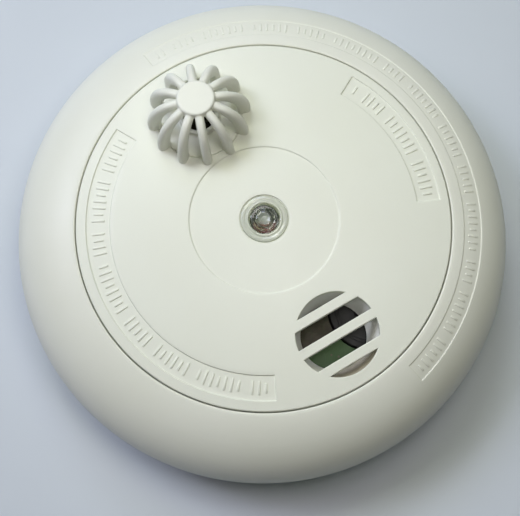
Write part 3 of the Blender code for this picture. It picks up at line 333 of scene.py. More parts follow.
def cut_mesh(mesh, cutters):
    """The mesh with each cutter mesh taken out of it."""
    helpers = []

    def add_cuts(body):
        for cutter in cutters:
            helper = bpy.data.objects.new("cut_helper", cutter)
            bpy.context.scene.collection.objects.link(helper)
            helpers.append(helper)
            cut = body.modifiers.new("cut", "BOOLEAN")
            cut.operation, cut.solver, cut.object = "DIFFERENCE", "EXACT", helper

    result = modified_mesh(mesh, add_cuts)
    for helper in helpers:
        bpy.data.objects.remove(helper)
    return result


def box_mesh(name, low, high, rounding, segments=3):
    """A box with rounded edges between two corners."""
    low, high = Vector(low), Vector(high)
    bm = bmesh.new()
    size = Matrix.Diagonal((*(high - low), 1.0))
    bmesh.ops.create_cube(bm, size=1.0, matrix=Matrix.Translation((low + high) / 2) @ size)
    if rounding > 0:
        bmesh.ops.bevel(
            bm,
            geom=bm.edges[:],
            offset=rounding,
            segments=segments,
            profile=0.5,
            affect="EDGES",
            clamp_overlap=True,
        )
    mesh = bpy.data.meshes.new(name)
    bm.to_mesh(mesh)
    bm.free()
    return mesh


def tube_mesh(name, path, radius, resolution=4):
    """A round wire along a path of points, with closed ends."""
    curve = bpy.data.curves.new(name, "CURVE")
    curve.dimensions = "3D"
    curve.bevel_depth = radius
    curve.bevel_resolution = resolution
    curve.use_fill_caps = True
    spline = curve.splines.new("POLY")
    spline.points.add(len(path) - 1)
    for point, spot in zip(spline.points, path):
        point.co = (*spot, 1.0)
    holder = bpy.data.objects.new(name, curve)
    bpy.context.scene.collection.objects.link(holder)
    return final_mesh(holder)


def smooth_path(points, count):
    """Points evenly spread along a Catmull-Rom curve through the given points."""
    points = np.array(points, float)
    padded = np.vstack([2 * points[0] - points[1], points, 2 * points[-1] - points[-2]])
    fine = []
    for i in range(len(points) - 1):
        p0, p1, p2, p3 = padded[i : i + 4]
        for t in np.linspace(0, 1, 24, endpoint=False):
            fine.append(
                0.5 * (2 * p1 + (p2 - p0) * t + (2 * p0 - 5 * p1 + 4 * p2 - p3) * t**2
                       + (3 * p1 - p0 - 3 * p2 + p3) * t**3)
            )
    fine.append(points[-1])
    fine = np.array(fine)
    run = np.concatenate([[0], np.cumsum(np.linalg.norm(np.diff(fine, axis=0), axis=1))])
    wanted = np.linspace(0, run[-1], count)
    return np.stack([np.interp(wanted, run, fine[:, k]) for k in range(fine.shape[1])], axis=1)


# ---- materials


class Nodes:
    """A short way to build a node material."""

    def __init__(self, name):
        self.material = bpy.data.materials.new(name)
        self.material.use_nodes = True
        self.tree = self.material.node_tree
        self.shader = self.tree.nodes["Principled BSDF"]
        self.coords = self.add("ShaderNodeTexCoord").outputs["Object"]

    def add(self, kind, **settings):
        """A node with some of its settings."""
        node = self.tree.nodes.new(kind)
        for key, value in settings.items():
            setattr(node, key, value)
        return node

    def link(self, source, target):
        """Joins an output to an input."""
        self.tree.links.new(source, target)

    def set(self, **values):
        """Sets the shader's own sockets."""
        for key, value in values.items():
            self.shader.inputs[key.replace("_", " ")].default_value = value

    def noise(self, scale, detail=3.0, roughness=0.55, stretch=None):
        """Noise in the piece's own space."""
        node = self.add("ShaderNodeTexNoise")
        node.inputs["Scale"].default_value = scale
        node.inputs["Detail"].default_value = detail
        node.inputs["Roughness"].default_value = roughness
        source = self.coords
        if stretch is not None:
            mapping = self.add("ShaderNodeMapping")
            mapping.inputs["Scale"].default_value = stretch
            self.link(source, mapping.inputs["Vector"])
            source = mapping.outputs["Vector"]
        self.link(source, node.inputs["Vector"])
        return node.outputs["Fac"]

    def spread(self, source, low, high, start=0.3, end=0.7):
        """Maps a value from start..end to low..high."""
        node = self.add("ShaderNodeMapRange")
        node.inputs["From Min"].default_value = start
        node.inputs["From Max"].default_value = end
        node.inputs["To Min"].default_value = low
        node.inputs["To Max"].default_value = high
        self.link(source, node.inputs["Value"])
        return node.outputs["Result"]

    def blend(self, factor, first, second):
        """A colour between two colours. Either may be an output."""
        node = self.add("ShaderNodeMix", data_type="RGBA")
        self.link(factor, node.inputs["Factor"])
        for socket, value in ((node.inputs["A"], first), (node.inputs["B"], second)):
            if isinstance(value, tuple):
                socket.default_value = (*value, 1.0)
            else:
                self.link(value, socket)
        return node.outputs["Result"]

    def mottled(self, scale, first, second, detail=3.0):
        """Noise between two colours."""
        return self.blend(self.spread(self.noise(scale, detail), 0.0, 1.0), first, second)

    def parts(self, source=None):
        """The X, Y and Z outputs of a vector, which is the piece's own space by default."""
        node = self.add("ShaderNodeSeparateXYZ")
        self.link(self.coords if source is None else source, node.inputs["Vector"])
        return node.outputs

    def colour(self, source):
        """Feeds the shader's colour."""
        self.link(source, self.shader.inputs["Base Color"])

    def dull(self, source):
        """Feeds the shader's roughness."""
        self.link(source, self.shader.inputs["Roughness"])

    def product(self, first, second, operation="MULTIPLY"):
        """Two values combined."""
        node = self.add("ShaderNodeMath", operation=operation)
        for socket, value in zip(node.inputs, (first, second)):
            if isinstance(value, (int, float)):
                socket.default_value = value
            else:
                self.link(value, socket)
        return node.outputs["Value"]

    def bump(self, height, distance, strength=1.0, after=None):
        """Relief on the shader's normal."""
        node = self.add("ShaderNodeBump")
        node.inputs["Strength"].default_value = strength
        node.inputs["Distance"].default_value = distance
        self.link(height, node.inputs["Height"])
        if after is not None:
            self.link(after, node.inputs["Normal"])
        self.link(node.outputs["Normal"], self.shader.inputs["Normal"])
        return node.outputs["Normal"]


def across_grille(n):
    """How far a point lies across the grille's bars."""
    turned = n.add("ShaderNodeMapping")
    turned.inputs["Rotation"].default_value = (0.0, 0.0, -GRILLE_TURN)
    n.link(n.coords, turned.inputs["Vector"])
    return n.parts(turned.outputs["Vector"])["Y"]


def moulded_plastic(name, colour, warm, roughness, grain=0.5, gloss=0.5, painted_shade_below=None):
    """Moulded plastic: faint cloudy colour, fine spark-eroded grain, light scuffs and a little dust.
    Painted shade may darken it below a line across the grille."""
    n = Nodes(name)
    tone = n.mottled(35.0, colour, warm, detail=4.0)
    if painted_shade_below is not None:
        # Painted shade: the colour turns brown-grey below a line across the grille
        painted_shade = n.spread(across_grille(n), 1.0, 0.0, painted_shade_below - LINE_BLUR, painted_shade_below + LINE_BLUR)
        tone = n.blend(painted_shade, tone, (0.50, 0.45, 0.37))
    dusty = tuple(c * 0.93 for c in colour)
    n.colour(n.blend(n.spread(n.noise(2600.0, 2.0), 0.0, 0.28, 0.55, 0.75), tone, dusty))
    scuff = n.noise(180.0, 5.0, 0.7, stretch=(1.0, 0.18, 1.0))
    rub = n.spread(scuff, roughness - 0.05, roughness + 0.09)
    n.dull(n.product(rub, n.spread(n.noise(900.0), -0.04, 0.04), "ADD"))
    relief = n.bump(n.noise(5200.0, 2.0, 0.6), 0.012 * MM, grain)
    n.bump(n.noise(260.0, 2.0), 0.02 * MM, grain * 0.5, after=relief)
    n.set(Specular_IOR_Level=gloss, IOR=1.5)
    return n.material


def metal(name, colour, dark, roughness):
    """Plated or drawn metal: fine lines along the draw and duller patches."""
    n = Nodes(name)
    lines = n.noise(1600.0, 3.0, 0.6, stretch=(1.0, 1.0, 14.0))
    n.colour(n.blend(n.spread(n.noise(220.0, 4.0), 0.0, 0.8), colour, dark))
    n.dull(n.spread(lines, roughness - 0.08, roughness + 0.14))
    n.bump(lines, 0.006 * MM, 0.6)
    n.set(Metallic=1.0)
    return n.material


def lens_plastic(name):
    """Slightly milky clear plastic: clearest between the dimple and the flange, above all in its two grooves.
    One side of the stem's foot has a painted red-brown glow of the lamp seen through the lens."""
    n = Nodes(name)
    flat = n.add("ShaderNodeVectorMath", operation="MULTIPLY")
    flat.inputs[1].default_value = (1.0, 1.0, 0.0)
    n.link(n.coords, flat.inputs[0])
    length = n.add("ShaderNodeVectorMath", operation="LENGTH")
    n.link(flat.outputs["Vector"], length.inputs[0])
    radius = length.outputs["Value"]

    grooves = []
    for groove, reach in LENS_GROOVES:
        away = n.product(n.product(radius, groove, "SUBTRACT"), 0.0, "ABSOLUTE")
        grooves.append(n.spread(away, 1.0, 0.0, 0.4 * reach, reach))
    grooved = n.product(n.product(*grooves, "MAXIMUM"), 0.98)
    inner_side = n.spread(radius, 0.55, 0.9, 1.5 * MM, 2.0 * MM)
    outer_side = n.spread(radius, 0.9, 0.45, 4.5 * MM, 4.9 * MM)
    window = n.product(inner_side, outer_side, "MINIMUM")
    place = n.parts()
    # Painted glow of the red lamp: one side of the stem's foot turns red-brown and less clear
    low = n.spread(place["Z"], 1.0, 0.0, LENS_LOW.z + 0.3 * MM, LENS_LOW.z + 1.0 * MM)
    painted_lamp_glow = n.product(low, n.spread(place["Y"], 1.0, 0.0, -0.9 * MM, 0.2 * MM))
    swirl = n.spread(n.noise(900.0), 0.92, 1.06)
    clear = n.product(n.product(grooved, window, "MAXIMUM"), swirl)
    clear = n.product(clear, n.spread(painted_lamp_glow, 1.0, 0.25, 0.0, 1.0))
    n.link(clear, n.shader.inputs["Transmission Weight"])

    outer = n.mottled(60.0, (0.90, 0.92, 0.80), (0.86, 0.89, 0.78))
    core = n.mottled(500.0, (0.54, 0.60, 0.50), (0.66, 0.70, 0.60))
    body = n.blend(n.spread(radius, 1.0, 0.0, 3.9 * MM, 4.5 * MM), outer, core)
    n.colour(n.blend(painted_lamp_glow, body, (0.36, 0.085, 0.075)))
    n.dull(n.spread(n.noise(420.0, 4.0), 0.03, 0.09))
    n.bump(n.noise(900.0, 2.0), 0.004 * MM, 0.3)
    n.set(IOR=1.49)
    return n.material


def lamp_epoxy(name):
    """Lamp epoxy: greyish, and red-brown on the side where the die sits."""
    n = Nodes(name)
    side = n.spread(n.parts()["Y"], 1.0, 0.0, -0.6 * MM, 0.6 * MM)
    swirl = n.product(side, n.spread(n.noise(700.0), 0.9, 1.1))
    n.colour(n.blend(swirl, (0.20, 0.22, 0.18), (0.44, 0.07, 0.06)))
    n.dull(n.spread(n.noise(500.0), 0.06, 0.14))
    n.bump(n.noise(1500.0), 0.004 * MM, 0.3)
    n.set(Coat_Weight=0.6, Coat_Roughness=0.05)
    return n.material


def board_mask(name):
    """Green solder mask over faint winding tracks, with a few tinned pads. Past a straight line across the
    grille the board is darker and brown."""
    n = Nodes(name)

    def cells(feature):
        node = n.add("ShaderNodeTexVoronoi", feature=feature)
        node.inputs["Scale"].default_value = 330.0
        node.inputs["Randomness"].default_value = 0.55
        n.link(n.coords, node.inputs["Vector"])
        return node.outputs["Distance"]

    tracks = n.spread(cells("DISTANCE_TO_EDGE"), 1.0, 0.0, 0.04, 0.07)
    pads = n.spread(cells("F1"), 1.0, 0.0, 0.1, 0.13)
    # Darker and brown past a straight line across the grille
    brown_side = n.spread(across_grille(n), 0.0, 1.0, DARK_BROWN_EDGE - LINE_BLUR, DARK_BROWN_EDGE + LINE_BLUR)
    cloud = n.spread(n.noise(60.0, 2.0, 0.5), 0.0, 1.0)
    green = n.blend(cloud, (0.042, 0.086, 0.032), (0.070, 0.118, 0.052))
    brown = n.mottled(240.0, (0.040, 0.034, 0.020), (0.066, 0.056, 0.032))
    faint = n.product(tracks, n.spread(brown_side, 1.0, 0.1, 0.0, 1.0))
    lit = n.blend(faint, n.blend(brown_side, green, brown), (0.060, 0.108, 0.046))
    n.colour(n.blend(pads, lit, (0.11, 0.10, 0.07)))
    n.dull(n.spread(n.noise(300.0), 0.4, 0.55))
    n.bump(n.product(tracks, pads, "MAXIMUM"), 0.03 * MM, 0.7)
    n.set(Specular_IOR_Level=0.2)
    return n.material


def wound_copper(name):
    """Enamelled wire wound round a core."""
    n = Nodes(name)
    turns = n.add("ShaderNodeTexWave", wave_type="BANDS", bands_direction="Z", wave_profile="SIN")
    turns.inputs["Scale"].default_value = 1250.0
    turns.inputs["Distortion"].default_value = 0.6
    n.link(n.coords, turns.inputs["Vector"])
    n.colour(n.blend(turns.outputs["Fac"], (0.30, 0.09, 0.035), (0.72, 0.33, 0.17)))
    n.dull(n.spread(n.noise(400.0), 0.22, 0.38))
    n.bump(turns.outputs["Fac"], 0.08 * MM, 0.9)
    n.set(Metallic=1.0)
    return n.material


def battery_jacket(name, low, high):
    """A plain dark jacket with a copper-toned end band and fine scuffs."""
    n = Nodes(name)
    band = n.spread(n.parts()["X"], 0.0, 1.0, low + 0.7 * (high - low), low + 0.705 * (high - low))
    scuff = n.spread(n.noise(260.0, 6.0, 0.7), 0.0, 0.35, 0.6, 0.8)
    dark = n.blend(scuff, (0.016, 0.017, 0.019), (0.07, 0.07, 0.075))
    n.colour(n.blend(band, dark, n.mottled(120.0, (0.50, 0.24, 0.09), (0.60, 0.31, 0.13))))
    n.link(n.product(band, 0.75), n.shader.inputs["Metallic"])
    n.dull(n.spread(n.noise(420.0), 0.26, 0.40))
    n.bump(n.noise(1900.0), 0.01 * MM, 0.4)
    return n.material


def striped_resistor(name):
    """Tan lacquer with colour bands round the body."""
    n = Nodes(name)
    bands = n.add("ShaderNodeTexWave", wave_type="BANDS", bands_direction="X", wave_profile="SIN")
    bands.inputs["Scale"].default_value = 240.0
    n.link(n.coords, bands.inputs["Vector"])
    tan = n.mottled(800.0, (0.48, 0.33, 0.18), (0.58, 0.42, 0.25))
    n.colour(n.blend(n.spread(bands.outputs["Fac"], 0.0, 1.0, 0.8, 0.86), tan, (0.20, 0.05, 0.03)))
    n.dull(n.spread(n.noise(500.0), 0.3, 0.45))
    return n.material


def fired_ceramic(name):
    """Silvered ceramic: pale, grainy and slightly metallic."""
    n = Nodes(name)
    grain = n.noise(1400.0, 4.0)
    n.colour(n.blend(n.spread(grain, 0.0, 1.0), (0.62, 0.60, 0.54), (0.78, 0.76, 0.70)))
    n.dull(n.spread(n.noise(600.0), 0.35, 0.55))
    n.bump(grain, 0.01 * MM, 0.6)
    n.set(Metallic=0.35)
    return n.material


def table_top(name):
    """The plain pale surface under the alarm."""
    n = Nodes(name)
    n.colour(n.mottled(6.0, (0.62, 0.665, 0.72), (0.66, 0.70, 0.75), detail=4.0))
    n.dull(n.spread(n.noise(60.0, 4.0), 0.55, 0.7))
    n.bump(n.noise(900.0), 0.02 * MM, 0.3)
    n.set(Specular_IOR_Level=0.25)
    return n.material


RIM_LOOK = moulded_plastic("rim_plastic", (0.80, 0.805, 0.715), (0.775, 0.78, 0.68), 0.42)
COVER_LOOK = moulded_plastic("cover_plastic", (0.80, 0.815, 0.715), (0.785, 0.795, 0.69), 0.42)
GUARD_LOOK = moulded_plastic("guard_plastic", (0.80, 0.805, 0.72), (0.77, 0.775, 0.68), 0.36, grain=0.3)
WHITE = ((0.84, 0.84, 0.81), (0.81, 0.81, 0.77), 0.48)
WHITE_LOOK = moulded_plastic("white_plastic", *WHITE)
# The duct wall carries painted shade below the lowest bar
DUCT_LOOK = moulded_plastic("duct_plastic", *WHITE, painted_shade_below=PAINTED_SHADE_EDGE)
BLACK_LOOK = moulded_plastic(
    "black_plastic", (0.010, 0.010, 0.010), (0.015, 0.014, 0.013), 0.55, grain=0.8, gloss=0.35
)
STEEL_LOOK = metal("zinc_steel", (0.66, 0.66, 0.64), (0.48, 0.48, 0.46), 0.28)
CAN_LOOK = metal("can_aluminium", (0.70, 0.71, 0.73), (0.56, 0.57, 0.59), 0.3)
BRASS_LOOK = metal("brass_sheet", (0.72, 0.52, 0.22), (0.52, 0.36, 0.14), 0.28)
CLEAR_LOOK = lens_plastic("clear_lens")
LED_LOOK = lamp_epoxy("red_epoxy")
BOARD_LOOK = board_mask("board_mask")
COPPER_LOOK = wound_copper("wound_copper")
BATTERY_LOOK = battery_jacket("battery_jacket", BATTERY_LOW.x, BATTERY_HIGH.x)
RESISTOR_LOOK = striped_resistor("resistor_lacquer")
CERAMIC_LOOK = fired_ceramic("fired_ceramic")


# ---- raised marks


def panel_marks(panel, surface, relief=1.0):
    """Radial bars along a panel, in groups with a wider space between. surface gives (z, slope) at a radius.
    Each bar is a rounded pad that reaches a little below the panel's floor."""
    inner, outer, first, last = panel
    middle = (inner + outer) / 2
    margin = 2.2 * MM / middle
    corner = Vector((0.56 * (outer - inner) / 2, MARK_WIDTH / 2, PANEL_DEPTH * 0.7 * relief))
    z, slope = surface(middle)
    template = box_mesh("mark", (-corner.x, -corner.y, -0.2 * MM), corner, 0.14 * MM, 2)
    step = MARK_PITCH / middle
    angle, group, count = first + margin, 0, 0
    marks = []
    while angle < last - margin:
        size = 1.0 if (count + group) % 3 else 0.72
        copied = template.copy()
        turn = Matrix.Rotation(angle, 4, "Z") @ Matrix.Translation((middle, 0.0, z))
        copied.transform(turn @ Matrix.Rotation(slope, 4, "Y") @ Matrix.Diagonal((size, 1.0, 1.0, 1.0)))
        marks.append(copied)
        count += 1
        angle += step
        if count == MARK_GROUPS[group % len(MARK_GROUPS)]:
            group, count = group + 1, 0
            angle += step
    bpy.data.meshes.remove(template)
    return marks


def cover_surface(radius):
    """Height and downward slope of a cover panel's floor."""
    return dome_z(radius, PANEL_DEPTH), math.asin(radius / DOME_RADIUS)


def rim_point(angle, inset=0.0):
    """A point (radius, z) of the rim's surface. Angle 0 is its widest level and 90 degrees the top."""
    rise = RIM_RISE - inset if angle >= 0 else RIM_DROP
    reach = RIM_RADIUS - RIM_CENTRE - inset
    return (RIM_CENTRE + reach * math.cos(angle), WIDEST_Z + rise * math.sin(angle))


def rim_surface(radius):
    """Height and downward slope of the rim panel's floor."""
    turn = math.acos((radius - RIM_CENTRE) / (RIM_RADIUS - RIM_CENTRE))
    slope = math.atan2(RIM_RISE * math.cos(turn), (RIM_RADIUS - RIM_CENTRE) * math.sin(turn))
    return WIDEST_Z + RIM_RISE * math.sin(turn) - RIM_RELIEF * PANEL_DEPTH / math.cos(slope), slope


# ---- pieces


def make_rim():
    """The broad rounded rim with its sunk panel of marks."""
    top_radius = RING_OPENING + RIM_EDGE_ROUND
    radii = panel_radii(RIM_PANELS, top_radius, 69.0 * MM, 0.9 * MM)
    outside = [(r, rim_point(math.acos((r - RIM_CENTRE) / (RIM_RADIUS - RIM_CENTRE)))[1]) for r in radii]
    last_turn = math.acos((radii[-1] - RIM_CENTRE) / (RIM_RADIUS - RIM_CENTRE))
    bottom = math.asin((RING_LOW.z - WIDEST_Z) / RIM_DROP)
    outside += [rim_point(a) for a in np.linspace(last_turn, 0.0, 22)[1:]]
    outside += [rim_point(a) for a in np.linspace(0.0, bottom, 12)[1:]]
    flags = [RIM_RELIEF] * len(outside)
    base = outside[-1]
    outside[-1] = (base[0], base[1] + 0.4 * MM)
    foot = [(base[0] - 0.15 * MM, base[1] + 0.1 * MM), (base[0] - 0.5 * MM, base[1])]
    inner_reach = RIM_RADIUS - RIM_CENTRE - RIM_WALL
    inner_top = math.acos((RING_OPENING + LIP_WIDTH - RIM_CENTRE) / inner_reach)
    inside = [rim_point(a, RIM_WALL) for a in np.linspace(bottom, 0.0, 6)]
    inside += [rim_point(a, RIM_WALL) for a in np.linspace(0.0, inner_top, 14)[1:]]
    lip = [
        (RING_OPENING + LIP_WIDTH, LIP_BOTTOM_Z),
        (RING_OPENING + 0.2 * MM, LIP_BOTTOM_Z),
        (RING_OPENING, LIP_BOTTOM_Z + 0.2 * MM),
    ]
    edge_z = outside[0][1] - RIM_EDGE_ROUND
    for k in range(5):
        turn = math.pi - math.pi / 2 * k / 5
        lip.append((top_radius + RIM_EDGE_ROUND * math.cos(turn), edge_z + RIM_EDGE_ROUND * math.sin(turn)))
    profile = outside + foot + inside + lip
    flags += [0] * (len(profile) - len(flags))
    grid = relief_grid(profile, panel_angles(RIM_PANELS), RIM_PANELS, flags)
    mesh = mesh_from_grid("rim_shell", grid, wrap_rows=True)
    for panel in RIM_PANELS:
        join_mesh(mesh, panel_marks(panel, rim_surface, RIM_RELIEF))
    shade(mesh, 40.0)
    new_piece("rim_shell", mesh, "head", RIM_LOOK, ["front_ring"])


def loft_cutter(name, outline, fillet, depth):
    """A cutter that goes down through the dome, flared at the surface so that the cut's edge is rounded.
    outline(growth) gives its points (x, y) grown outwards by growth."""
    above, lip, steps = -0.8 * MM, 0.006 * MM, 4
    levels = [(above, fillet), (lip, fillet)]
    for k in range(1, steps + 1):
        turn = math.pi / 2 * k / steps
        levels.append((lip + fillet * (1 - math.cos(turn)), fillet * (1 - math.sin(turn))))
    levels.append((depth, -CUT_DRAFT))
    rows = []
    for level, growth in levels:
        flat = np.array(outline(growth))
        height = dome_z(np.hypot(flat[:, 0], flat[:, 1]), level)
        rows.append(np.column_stack([flat, height]))
    return closed_ends(mesh_from_grid(name, np.array(rows)))


def grille_outline(low, high):
    """The outline of one opening between bars, as a function of its growth."""

    def outline(growth):
        reach = GRILLE_RADIUS + growth
        limit = reach * 0.9999
        bottom, top = max(low - growth, -limit), min(high + growth, limit)
        right = np.linspace(math.asin(bottom / reach), math.asin(top / reach), 24)
        side = [(reach * math.cos(a), reach * math.sin(a)) for a in right]
        other = [(-x, y) for x, y in reversed(side)]
        cos, sin = math.cos(GRILLE_TURN), math.sin(GRILLE_TURN)
        middle = GRILLE_CENTRE
        return [(middle.x + x * cos - y * sin, middle.y + x * sin + y * cos) for x, y in side + other]

    return outline


def grille_cutters():
    """The four openings of the sounder grille."""
    inner, outer = BAR_HALF_WIDTH, BAR_PITCH - BAR_HALF_WIDTH
    edge = BAR_PITCH + BAR_HALF_WIDTH
    spans = ((-GRILLE_RADIUS, -edge), (-outer, -inner), (inner, outer), (edge, GRILLE_RADIUS))
    return [loft_cutter("grille_cut", grille_outline(*span), GRILLE_FILLET, 3.4 * MM) for span in spans]


def guard_opening(growth):
    """The round opening under the guard."""
    reach = GUARD_OPENING + growth
    turns = np.linspace(0, 2 * math.pi, 72, endpoint=False)
    return [(GUARD_CENTRE.x + reach * math.cos(a), GUARD_CENTRE.y + reach * math.sin(a)) for a in turns]


def make_cover():
    """The domed button cover: dish, panels, grille, guard opening, skirt and flange."""
    seat_z = dome_z(0.0) - DISH_DEPTH - LENS_SEAT_DEPTH
    seat_top = dome_z(LENS_SEAT_RADIUS, DISH_DEPTH)
    side = LENS_SEAT_RADIUS
    seat = [(STEM_HOLE, seat_z), (side - 0.05 * MM, seat_z), (side, seat_z + 0.05 * MM)]
    seat += [(side, seat_top - 0.12 * MM), (side + 0.04 * MM, seat_top - 0.04 * MM)]
    seat.append((side + 0.14 * MM, seat_top))
    dish_radii = np.linspace(LENS_SEAT_RADIUS + 1.0 * MM, DISH_RADIUS - 0.45 * MM, 10)
    dish = [(r, dome_z(r, DISH_DEPTH)) for r in dish_radii]
    step = []
    for share in (-1.0, -0.6, -0.3, 0.0, 0.3, 0.6, 1.0):
        radius = DISH_RADIUS + 0.2 * MM * share
        rise = float(smooth_step(share, -1.0, 1.0))
        step.append((radius, dome_z(radius, DISH_DEPTH * (1 - rise))))
    face_end = COVER_RADIUS - COVER_EDGE_ROUND
    face_radii = panel_radii(COVER_PANELS, DISH_RADIUS + 0.8 * MM, face_end, 1.3 * MM)
    face = [(r, dome_z(r)) for r in face_radii]
    turn_z = dome_z(face_end) - COVER_EDGE_ROUND
    edge = []
    for k in range(1, 7):
        turn = math.pi / 2 * (1 - k / 6)
        out, up = COVER_EDGE_ROUND * math.cos(turn), COVER_EDGE_ROUND * math.sin(turn)
        edge.append((face_end + out, turn_z + up))
    flange_radius = COVER_HIGH.x
    rim = [
        (COVER_RADIUS, FLANGE_TOP_Z),
        (flange_radius - 0.2 * MM, FLANGE_TOP_Z),
        (flange_radius, 30.8 * MM),
        (flange_radius, COVER_LOW.z + 0.2 * MM),
        (flange_radius - 0.2 * MM, COVER_LOW.z),
        (COVER_RADIUS - COVER_WALL, COVER_LOW.z),
    ]
    under = [(r, dome_z(r, COVER_WALL)) for r in np.linspace(COVER_RADIUS - COVER_WALL, STEM_HOLE, 14)]
    profile = seat + dish + step + face + edge + rim + under
    flags = [0] * (len(seat) + len(dish) + len(step)) + [1] * len(face)
    flags += [0] * (len(profile) - len(flags))
    grid = relief_grid(profile, panel_angles(COVER_PANELS), COVER_PANELS, flags)
    mesh = mesh_from_grid("cover_shell", grid, wrap_rows=True)
    cutters = grille_cutters() + [loft_cutter("guard_cut", guard_opening, 0.5 * MM, 4.5 * MM)]
    mesh = cut_mesh(mesh, cutters)
    boss = rounded_profile(
        [(0, BOSS_HIGH, 0), (BOSS_RADIUS, BOSS_HIGH, 0), (BOSS_RADIUS, BOSS_LOW, 0.4 * MM), (0, BOSS_LOW, 0)]
    )
    join_mesh(mesh, [turned_mesh("boss", boss, 48, centre=SWITCH_CENTRE)])
    for panel in COVER_PANELS:
        join_mesh(mesh, panel_marks(panel, cover_surface))
    shade(mesh, 32.0)
    new_piece("cover_shell", mesh, "test_face", COVER_LOOK, ["button_cover"])


def guard_stand():
    """Where the guard stands: its foot square to the dome, and its cap a little nearer the middle."""
    lean = Matrix.Rotation(GUARD_TILT, 4, Vector((-GUARD_CENTRE.y, GUARD_CENTRE.x, 0.0)))
    back = GUARD_CENTRE.normalized() * -math.tan(GUARD_LEAN_BACK)
    shear = Matrix.Identity(4)
    shear[0][2], shear[1][2] = back
    return Matrix.Translation((*GUARD_CENTRE, dome_z(GUARD_CENTRE.length))) @ lean @ shear


# A rib's outer and inner side as (distance from the guard's middle, height) in millimetres
RIB_OUTSIDE = (
    (4.2, 13.75), (6.4, 13.45), (8.6, 12.85), (10.8, 11.6), (12.7, 9.7), (14.1, 7.2), (15.0, 4.4),
    (15.3, 1.8), (15.35, -0.7),
)
RIB_INSIDE = (
    (4.2, 11.1), (6.2, 10.7), (7.9, 9.7), (9.3, 8.2), (10.3, 6.3), (10.9, 4.2), (11.3, 2.2), (11.5, 0.6),
    (11.6, -1.5),
)


def rib_mesh():
    """One rib of the guard, lofted from the cap out over the shoulder and down to its foot."""
    outer = smooth_path(np.array(RIB_OUTSIDE) * MM, 34)
    inner = smooth_path(np.array(RIB_INSIDE) * MM, 34)
    rows = []
    sides = 24
    for i, (o, n) in enumerate(zip(outer, inner)):
        share = i / (len(outer) - 1)
        half_width = (1.27 + 0.16 * share) * MM
        depth = np.linalg.norm(o - n)
        way = (o - n) / depth
        ring = []
        for k in range(sides):
            turn = 2 * math.pi * k / sides
            c, s = math.cos(turn), math.sin(turn)
            power = 0.55 if c < 0 else 0.9
            across = half_width * math.copysign(abs(s) ** 0.8, s)
            deep = depth / 2 * math.copysign(abs(c) ** power, c)
            spot = (o + n) / 2 + way * deep
            ring.append((spot[0], across, spot[1]))
        rows.append(ring)
    return closed_ends(mesh_from_grid("rib", np.array(rows)))


def make_guard():
    """The sensor guard: twelve ribs blended into a flat cap and a sunk floor ring with a collar."""
    rib = rib_mesh()
    ribs = []
    for i in range(GUARD_RIBS):
        copied = rib.copy()
        copied.transform(Matrix.Rotation(GUARD_FIRST_RIB + 2 * math.pi * i / GUARD_RIBS, 4, "Z"))
        ribs.append(copied)
    bpy.data.meshes.remove(rib)
    cap = rounded_profile(in_mm((0, 14.2, 0), (5.45, 14.2, 0.55), (5.45, 11.9, 0.5), (0, 11.9, 0)))
    collar = in_mm((5.9, 1.2, 0.3), (5.9, -0.6, 0.3))
    floor = in_mm((12.4, -0.6, 0.2), (12.4, -2.1, 0.2), (4.6, -2.1, 0.2), (4.6, 1.2, 0.3))
    ring = rounded_profile(collar + floor, closed=True)
    mesh = turned_mesh("guard_shell", cap, 72)
    join_mesh(mesh, [turned_mesh("guard_floor", ring, 96, closed=True), *ribs])

    def blend_together(body):
        fuse = body.modifiers.new("fuse", "REMESH")
        fuse.mode = "VOXEL"
        fuse.voxel_size = 0.2 * MM
        soften = body.modifiers.new("soften", "SMOOTH")
        soften.iterations, soften.factor = 5, 0.5

    mesh = modified_mesh(mesh, blend_together)
    mesh.transform(guard_stand())
    shade(mesh, 60.0)
    new_piece("guard_shell", mesh, "test_face", GUARD_LOOK, ["sensor_guard"])


def make_lens():
    """The clear lens: a dimple, two grooved rings, a thin flange, and a stem that leads light up."""
    flange_bottom = dome_z(0.0) - DISH_DEPTH - LENS_SEAT_DEPTH + 0.1 * MM
    dimple = ((0, 0.55, 0), (0.8, 0.5, 0.4), (1.75, 0.05, 0.3))
    inner_ring = ((2.45, 0.25, 0.2), (2.75, 0.95, 0.1), (3.0, 0.3, 0.2), (3.85, 0.2, 0.25))
    outer_ring = ((4.2, 1.1, 0.1), (4.6, 0, 0.2), (5.05, 0.05, 0.25), (5.5, 0.4, 0.2), (6.05, 0.22, 0.3))
    corners = hung(LENS_HIGH.z, *dimple, *inner_ring, *outer_ring)
    corners += [
        (6.7 * MM, dome_z(6.85 * MM, DISH_DEPTH) + 0.02 * MM, 0.25 * MM),
        (6.98 * MM, flange_bottom, 0.1 * MM),
        (4.1 * MM, flange_bottom, 0.1 * MM),
        (3.7 * MM, LENS_LOW.z, 0.3 * MM),
        (0, LENS_LOW.z, 0),
    ]
    mesh = shade(turned_mesh("lens_body", rounded_profile(corners, steps=5), 128), 50.0)
    new_piece("lens_body", mesh, "test_face", CLEAR_LOOK, ["indicator_lens"])


